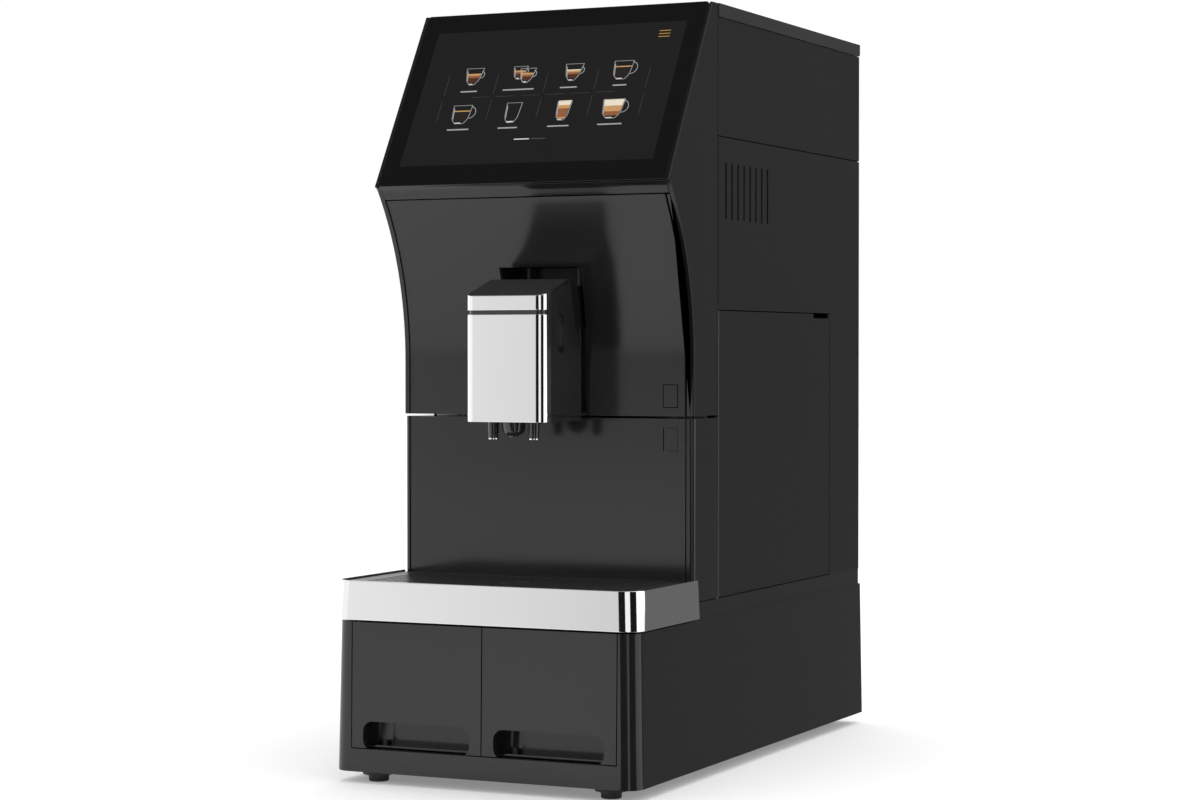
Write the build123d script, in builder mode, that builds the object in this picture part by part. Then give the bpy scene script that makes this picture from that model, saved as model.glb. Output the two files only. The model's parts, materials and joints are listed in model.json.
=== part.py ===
from build123d import *
from math import cos, radians, sin, sqrt
import os

# Countertop bean-to-cup coffee machine: a plinth with two drawers, a drip tray, a tall cabinet and a
# touchscreen door that carries the height-adjustable dispenser.
# Millimetres. +Z is up and the user stands at -Y. The origin is on the counter, under the middle of
# the machine's outline.

os.makedirs("parts", exist_ok=True)

# ---------------------------------------------------------------- driving sizes
# Overall outline
body_width = 340.0
overall_depth = 667.3
tray_reach = 154.3  # door face forward to the foot of the tray band
module_depth = 64.6  # door face back to the seam with the cabinet
cabinet_rebate = 5.2  # plinth back behind the cabinet back
foot_height = 12.0
plinth_height = 155.4
deck_thickness = 18.1
lower_panel_height = 192.2
door_height = 420.7
lid_thickness = 14.4

# Gaps and fits
panel_gap = 1.0  # between neighbouring outer panels
door_gap = 2.4  # under the door
lid_gap = 0.4
pin_gap = 0.05  # radial, hinge pins and guide rods
slide_gap = 0.8  # beside drawers
button_gap = 0.4
head_side_gap = 1.2  # head to each side of its opening

# Walls
sheet = 2.0
skin = 3.0
flank = 5.0

# Door face: flat below, then a hollow arc that sweeps forward to the screen
flat_face_height = 59.3  # seam to the start of the arc
face_radius = 297.0
chin_height = 229.3  # seam to the joint under the screen
panel_half = 159.8
groove_width = 5.2
groove_depth = 1.8

# Screen
screen_tilt = 31.0  # degrees back from upright
glass_foot_out = 67.2  # lower glass edge ahead of the door face
glass_foot_rise = 243.3  # lower glass edge above the seam
glass_length = 224.4
glass_margin = 3.3  # body side to glass edge
glass_thickness = 3.0
display_width = 300.0
display_length = 181.0
display_start = 22.0
display_thickness = 8.0
screen_frame_depth = 14.0

# Hinges
hinge_bead = 3.0
hinge_pin_radius = 1.5
small_pin_radius = 1.0
knuckle_radius = 2.8
knuckle_height = 20.0
knuckle_gap = 0.5
leaf_thickness = 1.6
lid_bead = 4.0

# Dispenser
head_half = 45.8
head_reach = 99.5  # door face forward to the chrome plate
head_bottom_drop = 4.2  # below the door seam
head_front_rise = 125.8
head_back_rise = 144.3
plate_top_rise = 106.6
band_foot_rise = 110.9
plate_thickness = 2.0
plate_corner = 10.0
plate_return = 6.0
head_floor = 2.5
opening_rise = 157.3
channel_depth = 34.0
rail_radius = 3.0
rail_x = 30.0
rail_back = 20.0
neck_inset = 5.8  # head side in to the neck's side
neck_foot_rise = 92.3
neck_root = 45.0
spout_x = 23.4
spout_reach = 77.0
spout_radius = 4.7
spout_drop = 22.6
nozzle_radius = 12.5
nozzle_drop = 20.2

# Plinth and drawers
plinth_foot_margin = 3.1  # plinth half width past the cabinet side, at the counter
plinth_draft = 2.6
plinth_back_draft = 0.5
plinth_corner = 18.0
drawer_side = 20.0  # cabinet side to the drawer's outer edge
drawer_joint = 1.2
drawer_sill = 25.1
drawer_top_gap = 0.5
drawer_front_thickness = 8.0
drawer_length = 395.0
bay_floor = 9.0
bay_roof = 6.0
bin_headroom = 22.5
plinth_wall = 4.0
case_wall = 3.0
case_fit = 0.2
grip_side = 13.0
grip_height = 27.8
grip_corner = 11.0
grip_depth = 26.0

# Drip tray
band_lift = 1.9  # band foot above the plinth
band_height = 40.4
band_margin_top = 3.8
band_margin_foot = 5.7
band_corner = 22.0
band_thickness = 3.0
band_arm = 2.0  # arms reach this far past the door face
basin_wall = 2.5
grille_drop = 2.0
grille_thickness = 4.0
slat_pitch = 8.0
slot_width = 3.0
float_hole_radius = 10.0

# Square buttons near the right edge
button_x = 135.0
button_width = 16.5
button_height = 24.0
latch_rise = 10.3  # foot of the latch button above the seam
flap_drop = 10.7  # top of the port flap below the seam
port_depth = 14.0

# Cabinet panels
upper_seam_drop = 125.1  # body top down to the seam of the upper side panel
side_door_height = 304.4
side_door_length = 341.9
side_door_thickness = 5.0
finger_notch_length = 49.0
finger_notch_height = 5.0
finger_notch_end = 4.5
vent_count = 8
vent_pitch = 17.25
vent_width = 4.0
vent_height = 59.8
vent_start = 21.6
vent_top_drop = 152.1
bay_width = 190.0
bay_height = 74.0
bay_depth = 42.0
bay_foot = 30.0

# ---------------------------------------------------------------- places worked out from them
side_x = body_width / 2
front_y = -overall_depth / 2
back_y = overall_depth / 2
door_y = front_y + tray_reach
seam_y = door_y + module_depth
door_back_y = seam_y - panel_gap / 2
cabinet_front_y = seam_y + panel_gap / 2
cabinet_back_y = back_y - cabinet_rebate
plinth_top_z = foot_height + plinth_height
deck_top_z = plinth_top_z + deck_thickness
door_seam_z = deck_top_z + lower_panel_height
door_foot_z = door_seam_z + door_gap / 2
lower_panel_top_z = door_seam_z - door_gap / 2
body_top_z = door_seam_z + door_height
lid_foot_z = body_top_z + lid_gap
top_z = body_top_z + lid_thickness
arc_z = door_seam_z + flat_face_height
chin_z = door_seam_z + chin_height
inner_x = side_x - sheet
opening_half = head_half + head_side_gap
neck_half = head_half - neck_inset

slope = Vector(0, sin(radians(screen_tilt)), cos(radians(screen_tilt)))
outward = Vector(0, -cos(radians(screen_tilt)), sin(radians(screen_tilt)))
glass_foot = Vector(0, door_y - glass_foot_out, door_seam_z + glass_foot_rise)
glass_plane = Plane(origin=glass_foot, x_dir=(1, 0, 0), z_dir=outward)
glass_half = side_x - glass_margin


# ---------------------------------------------------------------- shared shapes
def block(x, y, z, mode=Mode.ADD):
    """A box between the two ends given along each axis."""
    middle = [(low + high) / 2 for low, high in (x, y, z)]
    size = [high - low for low, high in (x, y, z)]
    with Locations(tuple(middle)):
        Box(*size, mode=mode)


def bar(axis, centre, span, radius, mode=Mode.ADD):
    """A round bar along an axis; centre gives the other two coordinates in axis order."""
    turn = {"X": (0, 90, 0), "Y": (90, 0, 0), "Z": (0, 0, 0)}[axis]
    middle = list(centre)
    middle.insert("XYZ".index(axis), (span[0] + span[1]) / 2)
    with Locations(tuple(middle)):
        Cylinder(radius, span[1] - span[0], rotation=turn, mode=mode)


def save(piece, node):
    """Names a finished piece and writes it as its own file."""
    piece.part.label = node
    export_step(piece.part, f"parts/{node}.step")


def face_y(z, behind=0.0):
    """Where the door's face, or a surface that far behind it, lies at height z."""
    if z <= arc_z:
        return door_y + behind
    return door_y - face_radius + sqrt((face_radius + behind) ** 2 - (z - arc_z) ** 2)


def face_line(behind, low, high):
    """Corners of the door's side outline from low to high: foot, arc start, arc middle and end."""
    middle = (arc_z + high) / 2
    return [
        (door_y + behind, low),
        (door_y + behind, arc_z),
        (face_y(middle, behind), middle),
        (face_y(high, behind), high),
    ]


def face_layer(near, far, low, high, span):
    """A curved layer of the door between two depths behind its face, across span in X."""
    front = face_line(near, low, high)
    rear = face_line(far, low, high)
    with BuildSketch(Plane.YZ.offset(span[0])) as section:
        with BuildLine():
            Line(front[0], front[1])
            ThreePointArc(front[1], front[2], front[3])
            Line(front[3], rear[3])
            ThreePointArc(rear[3], rear[2], rear[1])
            Line(rear[1], rear[0])
            Line(rear[0], front[0])
        make_face()
    extrude(section.sketch, span[1] - span[0])


def clear_ahead_of_face(behind, low, high, span):
    """Cuts away everything in front of a surface that far behind the door's face."""
    edge = face_line(behind, low, high)
    out = door_y - 2 * glass_foot_out
    with BuildSketch(Plane.YZ.offset(span[0])) as section:
        with BuildLine():
            Line(edge[0], edge[1])
            ThreePointArc(edge[1], edge[2], edge[3])
            Polyline(edge[3], (out, high), (out, low), edge[0])
        make_face()
    extrude(section.sketch, span[1] - span[0], mode=Mode.SUBTRACT)


def glass_slab(x_half, start, length, near, far, mode=Mode.ADD, corner=0.0):
    """A slab parallel to the screen, between two depths behind the glass face."""
    with BuildSketch(glass_plane.offset(-far)) as outline:
        with Locations((0, start + length / 2)):
            Rectangle(2 * x_half, length)
        if corner:
            fillet(outline.vertices().group_by(Axis.Z)[0], corner)
    extrude(outline.sketch, far - near, mode=mode)


def drafted_shell(z, half, front, back, corner, mode=Mode.ADD):
    """A block whose foot and top outlines differ, with round front corners."""
    outlines = []
    for level in range(2):
        with BuildSketch(Plane.XY.offset(z[level])) as outline:
            with Locations((0, (front[level] + back[level]) / 2)):
                Rectangle(2 * half[level], back[level] - front[level])
            fillet(outline.vertices().group_by(Axis.Y)[0], corner)
        outlines.append(outline.sketch)
    loft(outlines, ruled=True, mode=mode)


# ---------------------------------------------------------------- plinth
plinth_foot_half = side_x + plinth_foot_margin
plinth_top_half = plinth_foot_half - plinth_draft
plinth_foot_front = front_y + 2.5
plinth_top_front = plinth_foot_front + plinth_draft
drawer_half = side_x - drawer_side
drawer_foot_z = foot_height + drawer_sill
drawer_top_z = plinth_top_z - drawer_top_gap
drawer_back_y = plinth_top_front + drawer_length
bay_floor_z = drawer_foot_z + bay_floor
bay_roof_z = plinth_top_z - bay_roof
bay_inner = 2.0
bay_outer = drawer_half - 3.0
case_back_y = drawer_back_y + 6.0 + case_wall
machine_room_front = case_back_y + 5.0
plinth_inner_half = plinth_top_half - plinth_wall
hollow_corner = plinth_corner - plinth_wall
machine_room_half = side_x - 8.0
machine_room_back = back_y - 8.0
machine_room_floor = foot_height + 6.0
recess_back_y = plinth_top_front + drawer_front_thickness + panel_gap
pocket_room_back_y = recess_back_y + grip_depth + 12.0

with BuildPart() as plinth_form:
    drafted_shell(
        (foot_height, plinth_top_z),
        (plinth_foot_half, plinth_top_half),
        (plinth_foot_front, plinth_top_front),
        (back_y, back_y - plinth_back_draft),
        plinth_corner,
    )

with BuildPart() as plinth_housing:
    add(plinth_form.part)
    # the drawer fronts lie in a shallow recess that is open at the top
    block(
        (-drawer_half - slide_gap, drawer_half + slide_gap),
        (front_y - 1, recess_back_y + 1),
        (drawer_foot_z - slide_gap, plinth_top_z + 1),
        Mode.SUBTRACT,
    )
    with BuildSketch(Plane.XY.offset(machine_room_floor)) as hollow:
        with Locations((0, (recess_back_y + machine_room_back) / 2)):
            Rectangle(2 * plinth_inner_half, machine_room_back - recess_back_y)
        fillet(hollow.vertices().group_by(Axis.Y)[0], hollow_corner)
    extrude(hollow.sketch, plinth_height, mode=Mode.SUBTRACT)
save(plinth_housing, "plinth_housing")

# The case inside the plinth: a front frame, three walls and a back around two bays, and a roof
with BuildPart() as drawer_case:
    case_half = plinth_inner_half - case_fit
    bay_back_y = drawer_back_y + 6.0
    with BuildSketch(Plane.XY.offset(bay_roof_z)) as roof:
        with Locations((0, (recess_back_y + case_back_y) / 2)):
            Rectangle(2 * case_half, case_back_y - recess_back_y)
        fillet(roof.vertices().group_by(Axis.Y)[0], hollow_corner)
    extrude(roof.sketch, bay_roof)
    block(
        (-plinth_inner_half + hollow_corner, plinth_inner_half - hollow_corner),
        (recess_back_y, recess_back_y + case_wall),
        (machine_room_floor, bay_roof_z),
    )
    block(
        (-bay_outer - case_wall, bay_outer + case_wall),
        (recess_back_y, case_back_y),
        (machine_room_floor, bay_roof_z),
    )
    for low, high in ((-bay_outer, -bay_inner), (bay_inner, bay_outer)):
        block((low, high), (front_y, bay_back_y), (bay_floor_z, bay_roof_z), Mode.SUBTRACT)
        # room for the hand pocket below the bin
        block(
            (low, high),
            (front_y, pocket_room_back_y),
            (drawer_foot_z - slide_gap, bay_floor_z + 1),
            Mode.SUBTRACT,
        )
        # hollow under the bay floor
        block(
            (low, high),
            (pocket_room_back_y + case_wall, case_back_y + 1),
            (machine_room_floor - 1, bay_floor_z - case_wall),
            Mode.SUBTRACT,
        )
save(drawer_case, "drawer_case")

foot_x = side_x - 37.0
foot_places = [
    (x, y) for x in (-foot_x, foot_x) for y in (plinth_foot_front + 27.0, back_y - 75.0)
]
foot_flange_radius = 18.0
foot_flange_height = 5.0
foot_pad_radius = 8.5

with BuildPart() as feet:
    for x, y in foot_places:
        bar("Z", (x, y), (foot_height - foot_flange_height, foot_height), foot_flange_radius)
save(feet, "feet")

with BuildPart() as foot_pads:
    for x, y in foot_places:
        bar("Z", (x, y), (0, foot_height - foot_flange_height), foot_pad_radius)
save(foot_pads, "foot_pads")

# ---------------------------------------------------------------- drawers
pocket_wall = 3.0
pocket_floor = 2.0


def make_drawer(side, name):
    """One drawer: its front with the hand pocket, and the open bin behind it."""
    outer = side * drawer_half
    inner = side * drawer_joint / 2
    low, high = sorted((outer, inner))
    grip_low, grip_high = low + grip_side, high - grip_side
    front_back_y = plinth_top_front + drawer_front_thickness
    pocket_back_y = front_back_y + grip_depth
    pocket_top_z = drawer_foot_z + grip_height + 8.0
    with BuildPart() as drawer_front:
        block((low, high), (front_y - 1, front_back_y), (drawer_foot_z, drawer_top_z))
        block(
            (grip_low - pocket_wall, grip_high + pocket_wall),
            (front_back_y, pocket_back_y),
            (drawer_foot_z + 0.3, pocket_top_z + pocket_wall),
        )
        with BuildSketch(Plane.XZ.offset(-front_back_y)) as grip:
            with Locations(((grip_low + grip_high) / 2, drawer_foot_z + grip_height / 2 - 1)):
                Rectangle(grip_high - grip_low, grip_height + 2)
            fillet(grip.vertices().group_by(Axis.Z)[-1], grip_corner)
        extrude(grip.sketch, drawer_front_thickness + 8, mode=Mode.SUBTRACT)
        with BuildSketch(Plane.XY.offset(drawer_foot_z + pocket_floor + 0.3)) as scoop:
            with Locations(((grip_low + grip_high) / 2, front_back_y + grip_depth / 2 - 2)):
                Rectangle(grip_high - grip_low, grip_depth - 2)
            fillet(scoop.vertices().group_by(Axis.Y)[-1], grip_depth - 8)
        extrude(scoop.sketch, pocket_top_z - drawer_foot_z - pocket_floor, mode=Mode.SUBTRACT)
        add(plinth_form.part, mode=Mode.INTERSECT)
    save(drawer_front, name + "_front")

    bin_low, bin_high = sorted((side * (bay_outer - slide_gap), side * (bay_inner + slide_gap)))
    bin_floor_z = bay_floor_z + slide_gap
    bin_top_z = bay_roof_z - bin_headroom
    bin_front_y = pocket_back_y
    with BuildPart() as drawer_bin:
        block((bin_low, bin_high), (bin_front_y, drawer_back_y), (bin_floor_z, bin_top_z))
        block(
            (bin_low + basin_wall, bin_high - basin_wall),
            (bin_front_y + basin_wall, drawer_back_y - basin_wall),
            (bin_floor_z + basin_wall, bin_top_z + 1),
            Mode.SUBTRACT,
        )
        # two cheeks carry the front
        for x in (bin_low, bin_high - basin_wall):
            block(
                (x, x + basin_wall),
                (front_back_y, bin_front_y),
                (pocket_top_z + pocket_wall + 1, bin_top_z),
            )
    save(drawer_bin, name + "_bin")


make_drawer(-1, "left_drawer")
make_drawer(1, "right_drawer")

# ---------------------------------------------------------------- drip tray
band_foot_z = plinth_top_z + band_lift
band_top_z = band_foot_z + band_height
band_foot_half = side_x + band_margin_foot
band_top_half = side_x + band_margin_top
band_draft = band_margin_foot - band_margin_top
band_top_front = front_y + band_draft + 0.4
band_back_y = door_y + band_arm
basin_half = side_x - 1.8
basin_front_y = band_top_front + band_thickness + 0.6
basin_back_y = door_y - 1.5
basin_corner = band_corner - band_thickness - 1.5
skid_foot_z = plinth_top_z + 0.2
basin_foot_z = band_foot_z + 1.2
grille_top_z = band_top_z - grille_drop
grille_foot_z = grille_top_z - grille_thickness
grille_rim_z = grille_foot_z - 0.2

with BuildPart() as tray_band:
    drafted_shell(
        (band_foot_z, band_top_z),
        (band_foot_half, band_top_half),
        (front_y, band_top_front),
        (band_back_y, band_back_y),
        band_corner,
    )
    drafted_shell(
        (band_foot_z - 1, band_top_z + 1),
        (band_foot_half - band_thickness, band_top_half - band_thickness),
        (front_y + band_thickness, band_top_front + band_thickness),
        (band_back_y + 1, band_back_y + 1),
        band_corner - band_thickness,
        Mode.SUBTRACT,
    )
save(tray_band, "tray_band")

with BuildPart() as tray_basin:
    with BuildSketch(Plane.XY.offset(basin_foot_z)) as basin_outline:
        with Locations((0, (basin_front_y + basin_back_y) / 2)):
            Rectangle(2 * basin_half, basin_back_y - basin_front_y)
        fillet(basin_outline.vertices().group_by(Axis.Y)[0], basin_corner)
    extrude(amount=grille_rim_z - basin_foot_z)
    with BuildSketch(Plane.XY.offset(basin_foot_z + basin_wall)):
        offset(basin_outline.sketch, -basin_wall)
    extrude(amount=grille_rim_z - basin_foot_z, mode=Mode.SUBTRACT)
    for x in (-0.6 * basin_half, 0.6 * basin_half):
        block((x - 6, x + 6), (basin_front_y + 25, basin_back_y), (skid_foot_z, basin_foot_z))
    # guide tube for the float
    float_y = (front_y + door_y) / 2
    bar("Z", (0, float_y), (basin_foot_z + basin_wall, basin_foot_z + 14), float_hole_radius + 2.5)
    bar(
        "Z",
        (0, float_y),
        (basin_foot_z + basin_wall, basin_foot_z + 15),
        float_hole_radius,
        Mode.SUBTRACT,
    )
save(tray_basin, "tray_basin")

with BuildPart() as drip_grille:
    with BuildSketch(Plane.XY.offset(grille_foot_z)):
        add(basin_outline.sketch)
    extrude(amount=grille_thickness)
    slot_half = basin_half - 20
    slots = int(2 * slot_half / slat_pitch)
    slot_length = basin_back_y - basin_front_y - 20
    with BuildSketch(Plane.XY.offset(grille_top_z)) as slot_rows:
        with Locations((0, (basin_front_y + basin_back_y) / 2)):
            with GridLocations(slat_pitch, 0, slots, 1):
                Rectangle(slot_width, slot_length)
        with Locations((0, float_y)):
            Circle(float_hole_radius + 6, mode=Mode.SUBTRACT)
    extrude(slot_rows.sketch, -grille_thickness, mode=Mode.SUBTRACT)
    bar("Z", (0, float_y), (grille_foot_z - 1, grille_top_z + 1), float_hole_radius, Mode.SUBTRACT)
save(drip_grille, "drip_grille")

float_radius = float_hole_radius - 2.0
with BuildPart() as tray_float:
    bar("Z", (0, float_y), (basin_foot_z + basin_wall + 0.3, grille_top_z - 8), float_radius)
    fillet(tray_float.edges().filter_by(GeomType.CIRCLE).sort_by(Axis.Z)[-1], 2.0)
save(tray_float, "tray_float")

# ---------------------------------------------------------------- cabinet
side_door_foot_z = deck_top_z + panel_gap
side_door_top_z = deck_top_z + side_door_height - panel_gap / 2
side_opening_top_z = deck_top_z + side_door_height + panel_gap / 2
side_door_back_y = seam_y + side_door_length - panel_gap / 2
side_opening_back_y = seam_y + side_door_length + panel_gap / 2
side_door_axis = (side_x - hinge_bead, cabinet_front_y + hinge_bead + 0.2)
side_pin_length = 7.0
boss_height = 10.0

deck_half = side_x - 0.5
with BuildPart() as deck_plate:
    block((-deck_half, deck_half), (door_y + 1, cabinet_back_y), (plinth_top_z, deck_top_z))
    bar(
        "Z",
        side_door_axis,
        (deck_top_z - side_pin_length, deck_top_z + 1),
        small_pin_radius,
        Mode.SUBTRACT,
    )
save(deck_plate, "deck_plate")

# Hinge of the screen door, at its rear left corner
door_axis = (-side_x + hinge_bead, door_back_y - hinge_bead)
knuckle_feet = [door_foot_z + 20, (door_foot_z + body_top_z) / 2, body_top_z - 60]
hinge_foot_z = knuckle_feet[0] - 6
hinge_top_z = knuckle_feet[-1] + knuckle_height + 6
leaf_low = door_axis[0] - leaf_thickness / 2
leaf_high = door_axis[0] + leaf_thickness / 2
leaf_front_y = cabinet_front_y + 0.2

with BuildPart() as door_hinge_leaf:
    block((leaf_low, leaf_high), (leaf_front_y, leaf_front_y + 18), (hinge_foot_z, hinge_top_z))
    for foot in knuckle_feet:
        block((leaf_low, leaf_high), (door_axis[1], leaf_front_y), (foot, foot + knuckle_height))
        bar("Z", door_axis, (foot, foot + knuckle_height), knuckle_radius)
    bar("Z", door_axis, (hinge_foot_z - 1, hinge_top_z + 1), hinge_pin_radius, Mode.SUBTRACT)
save(door_hinge_leaf, "door_hinge_leaf")

bulkhead_back_y = cabinet_front_y + sheet
bulkhead_half = side_x - 4.0
with BuildPart() as chassis_bulkhead:
    block(
        (-bulkhead_half, bulkhead_half - side_door_thickness - 4),
        (cabinet_front_y, bulkhead_back_y),
        (deck_top_z, body_top_z - 1),
    )
    # lead-through behind the dispenser
    block(
        (-opening_half, opening_half),
        (cabinet_front_y - 1, bulkhead_back_y + 1),
        (door_seam_z + 30, door_seam_z + opening_rise),
        Mode.SUBTRACT,
    )
save(chassis_bulkhead, "chassis_bulkhead")


def cut_vents(low, high):
    """A row of upright vent slots through a side panel."""
    top = body_top_z - vent_top_drop
    for number in range(vent_count):
        y = seam_y + vent_start + number * vent_pitch
        block(
            (low, high),
            (y - vent_width / 2, y + vent_width / 2),
            (top - vent_height, top),
            Mode.SUBTRACT,
        )


with BuildPart() as left_side_panel:
    block((-side_x, -inner_x), (cabinet_front_y, cabinet_back_y), (deck_top_z, body_top_z))
    cut_vents(-side_x - 1, -inner_x + 1)
save(left_side_panel, "left_side_panel")

upper_seam_z = body_top_z - upper_seam_drop
with BuildPart() as right_side_panel:
    block(
        (inner_x, side_x),
        (cabinet_front_y, cabinet_back_y),
        (deck_top_z, upper_seam_z - panel_gap / 2),
    )
    block(
        (inner_x - 1, side_x + 1),
        (cabinet_front_y - 1, side_opening_back_y),
        (deck_top_z - 1, side_opening_top_z),
        Mode.SUBTRACT,
    )
    # boss that holds the side door's upper pin
    block(
        (side_x - 8, side_x),
        (cabinet_front_y, cabinet_front_y + 10),
        (side_opening_top_z, side_opening_top_z + boss_height),
    )
    bar(
        "Z",
        side_door_axis,
        (side_opening_top_z - 1, side_opening_top_z + side_pin_length),
        small_pin_radius,
        Mode.SUBTRACT,
    )
    cut_vents(inner_x - 1, side_x + 1)
save(right_side_panel, "right_side_panel")

step_depth = 0.6
with BuildPart() as right_upper_panel:
    block(
        (inner_x, side_x),
        (cabinet_front_y, cabinet_back_y),
        (upper_seam_z + panel_gap / 2, body_top_z),
    )
    # shallow step around the rear part
    block(
        (side_x - step_depth, side_x + 1),
        (seam_y + 119.4, cabinet_back_y - 6),
        (upper_seam_z + 14.2, body_top_z - 4),
        Mode.SUBTRACT,
    )
save(right_upper_panel, "right_upper_panel")

# Side door, hinged at its front edge
with BuildPart() as side_door:
    block(
        (side_x - side_door_thickness, side_x),
        (side_door_axis[1], side_door_back_y),
        (side_door_foot_z, side_door_top_z),
    )
    bar("Z", side_door_axis, (side_door_foot_z, side_door_top_z), hinge_bead)
    block(
        (side_x - side_door_thickness - 1, side_x + 1),
        (
            side_door_back_y - finger_notch_end - finger_notch_length,
            side_door_back_y - finger_notch_end,
        ),
        (side_door_top_z - finger_notch_height, side_door_top_z + 1),
        Mode.SUBTRACT,
    )
    for end in ((side_door_foot_z - 1, side_door_foot_z + side_pin_length),
                (side_door_top_z - side_pin_length, side_door_top_z + 1)):
        bar("Z", side_door_axis, end, small_pin_radius + pin_gap, Mode.SUBTRACT)
save(side_door, "side_door")

# Back panel with a sunken connection bay and the lugs of the lid's hinge
lid_half = side_x + 1.0
lid_axis = (cabinet_back_y - lid_bead, lid_foot_z + lid_bead)
lid_pin_x = side_x - 50.0
lug_half = 8.0
lug_gap = 0.6
lid_pin_reach = 16.0
bay_half = bay_width / 2
bay_foot_z = deck_top_z + bay_foot
bay_top_z = bay_foot_z + bay_height
bay_face_y = cabinet_back_y - bay_depth
with BuildPart() as back_panel:
    block((-inner_x, inner_x), (cabinet_back_y - sheet, cabinet_back_y), (deck_top_z, body_top_z))
    block(
        (-bay_half - sheet, bay_half + sheet),
        (bay_face_y - sheet, cabinet_back_y - sheet),
        (bay_foot_z - sheet, bay_top_z + sheet),
    )
    block(
        (-bay_half, bay_half),
        (bay_face_y, cabinet_back_y + 1),
        (bay_foot_z, bay_top_z),
        Mode.SUBTRACT,
    )
    # lugs that carry the lid
    for x in (-lid_pin_x, lid_pin_x):
        block(
            (x - lug_half, x + lug_half),
            (lid_axis[0] - knuckle_radius, cabinet_back_y - sheet),
            (body_top_z - 24, lid_axis[1]),
        )
        bar("X", lid_axis, (x - lug_half, x + lug_half), knuckle_radius)
        bar("X", lid_axis, (x - lug_half - 1, x + lug_half + 1), hinge_pin_radius, Mode.SUBTRACT)
save(back_panel, "back_panel")

bay_middle_z = (bay_foot_z + bay_top_z) / 2
inlet_x = -60.0
switch_x = -12.0
water_x = 30.0
drain_x = 70.0

rocker_half = (9.0, 12.0)
with BuildPart() as mains_inlet:
    block(
        (inlet_x - 25, switch_x + 12),
        (bay_face_y, bay_face_y + 3),
        (bay_middle_z - 15, bay_middle_z + 15),
    )
    block(
        (inlet_x - 17, inlet_x + 17),
        (bay_face_y, bay_face_y + 20),
        (bay_middle_z - 13, bay_middle_z + 13),
    )
    block(
        (inlet_x - 12.3, inlet_x + 12.3),
        (bay_face_y + 4, bay_face_y + 21),
        (bay_middle_z - 8.3, bay_middle_z + 8.3),
        Mode.SUBTRACT,
    )
    for x, z in ((-7, -2), (0, 2), (7, -2)):
        block(
            (inlet_x + x - 1, inlet_x + x + 1),
            (bay_face_y + 4, bay_face_y + 15),
            (bay_middle_z + z - 2, bay_middle_z + z + 2),
        )
    # the frame of the power switch beside it
    block(
        (switch_x - 12, switch_x + 12),
        (bay_face_y, bay_face_y + 12),
        (bay_middle_z - 15, bay_middle_z + 15),
    )
    block(
        (switch_x - rocker_half[0] - 0.5, switch_x + rocker_half[0] + 0.5),
        (bay_face_y + 2, bay_face_y + 13),
        (bay_middle_z - rocker_half[1] - 0.6, bay_middle_z + rocker_half[1] + 0.6),
        Mode.SUBTRACT,
    )
save(mains_inlet, "mains_inlet")

rocker_y = bay_face_y + 8.0
with BuildPart() as power_rocker:
    with BuildSketch(Plane.YZ.offset(switch_x - rocker_half[0])) as rocker_side:
        with BuildLine():
            Polyline(
                (rocker_y - 3, bay_middle_z - rocker_half[1] + 2.5),
                (rocker_y + 5.5, bay_middle_z - rocker_half[1] + 0.4),
                (rocker_y + 4, bay_middle_z),
                (rocker_y + 5.5, bay_middle_z + rocker_half[1] - 0.4),
                (rocker_y - 3, bay_middle_z + rocker_half[1] - 2.5),
                close=True,
            )
        make_face()
    extrude(amount=2 * rocker_half[0])
save(power_rocker, "power_rocker")

inlet_thread_radius = 13.2
drain_radius = 9.5
fitting_length = 24.0
fitting_flange = 4.0
water_flange_radius = 16.5
water_bore_radius = 7.0
drain_flange_radius = 14.0
drain_bore_radius = 6.5
with BuildPart() as water_inlet_fitting:
    bar("Y", (water_x, bay_middle_z), (bay_face_y, bay_face_y + fitting_flange), water_flange_radius)
    bar(
        "Y",
        (water_x, bay_middle_z),
        (bay_face_y, bay_face_y + fitting_length),
        inlet_thread_radius,
    )
    bar(
        "Y",
        (water_x, bay_middle_z),
        (bay_face_y + fitting_flange + 1, bay_face_y + fitting_length + 1),
        water_bore_radius,
        Mode.SUBTRACT,
    )
save(water_inlet_fitting, "water_inlet_fitting")

with BuildPart() as drain_fitting:
    bar("Y", (drain_x, bay_middle_z), (bay_face_y, bay_face_y + fitting_flange), drain_flange_radius)
    bar("Y", (drain_x, bay_middle_z), (bay_face_y, bay_face_y + fitting_length), drain_radius)
    bar(
        "Y",
        (drain_x, bay_middle_z),
        (bay_face_y + fitting_flange + 1, bay_face_y + fitting_length + 1),
        drain_bore_radius,
        Mode.SUBTRACT,
    )
save(drain_fitting, "drain_fitting")

# Lid over the bean hopper, hinged at the back
with BuildPart() as top_lid:
    block((-lid_half, lid_half), (cabinet_front_y, lid_axis[0]), (lid_foot_z, top_z))
    block((-lid_half, lid_half), (lid_axis[0], cabinet_back_y), (lid_axis[1], top_z))
    block(
        (-lid_half + skin, lid_half - skin),
        (cabinet_front_y + skin, lid_axis[0] - lid_bead - 1),
        (lid_foot_z - 1, top_z - skin),
        Mode.SUBTRACT,
    )
    bar("X", lid_axis, (-lid_half, lid_half), lid_bead)
    for x in (-lid_pin_x, lid_pin_x):
        block(
            (x - lug_half - lug_gap, x + lug_half + lug_gap),
            (lid_axis[0] - knuckle_radius - lug_gap, cabinet_back_y + 1),
            (lid_foot_z - 1, lid_axis[1] + knuckle_radius + lug_gap),
            Mode.SUBTRACT,
        )
        bar(
            "X",
            lid_axis,
            (x - lid_pin_reach, x + lid_pin_reach),
            hinge_pin_radius + pin_gap,
            Mode.SUBTRACT,
        )
save(top_lid, "top_lid")


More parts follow.
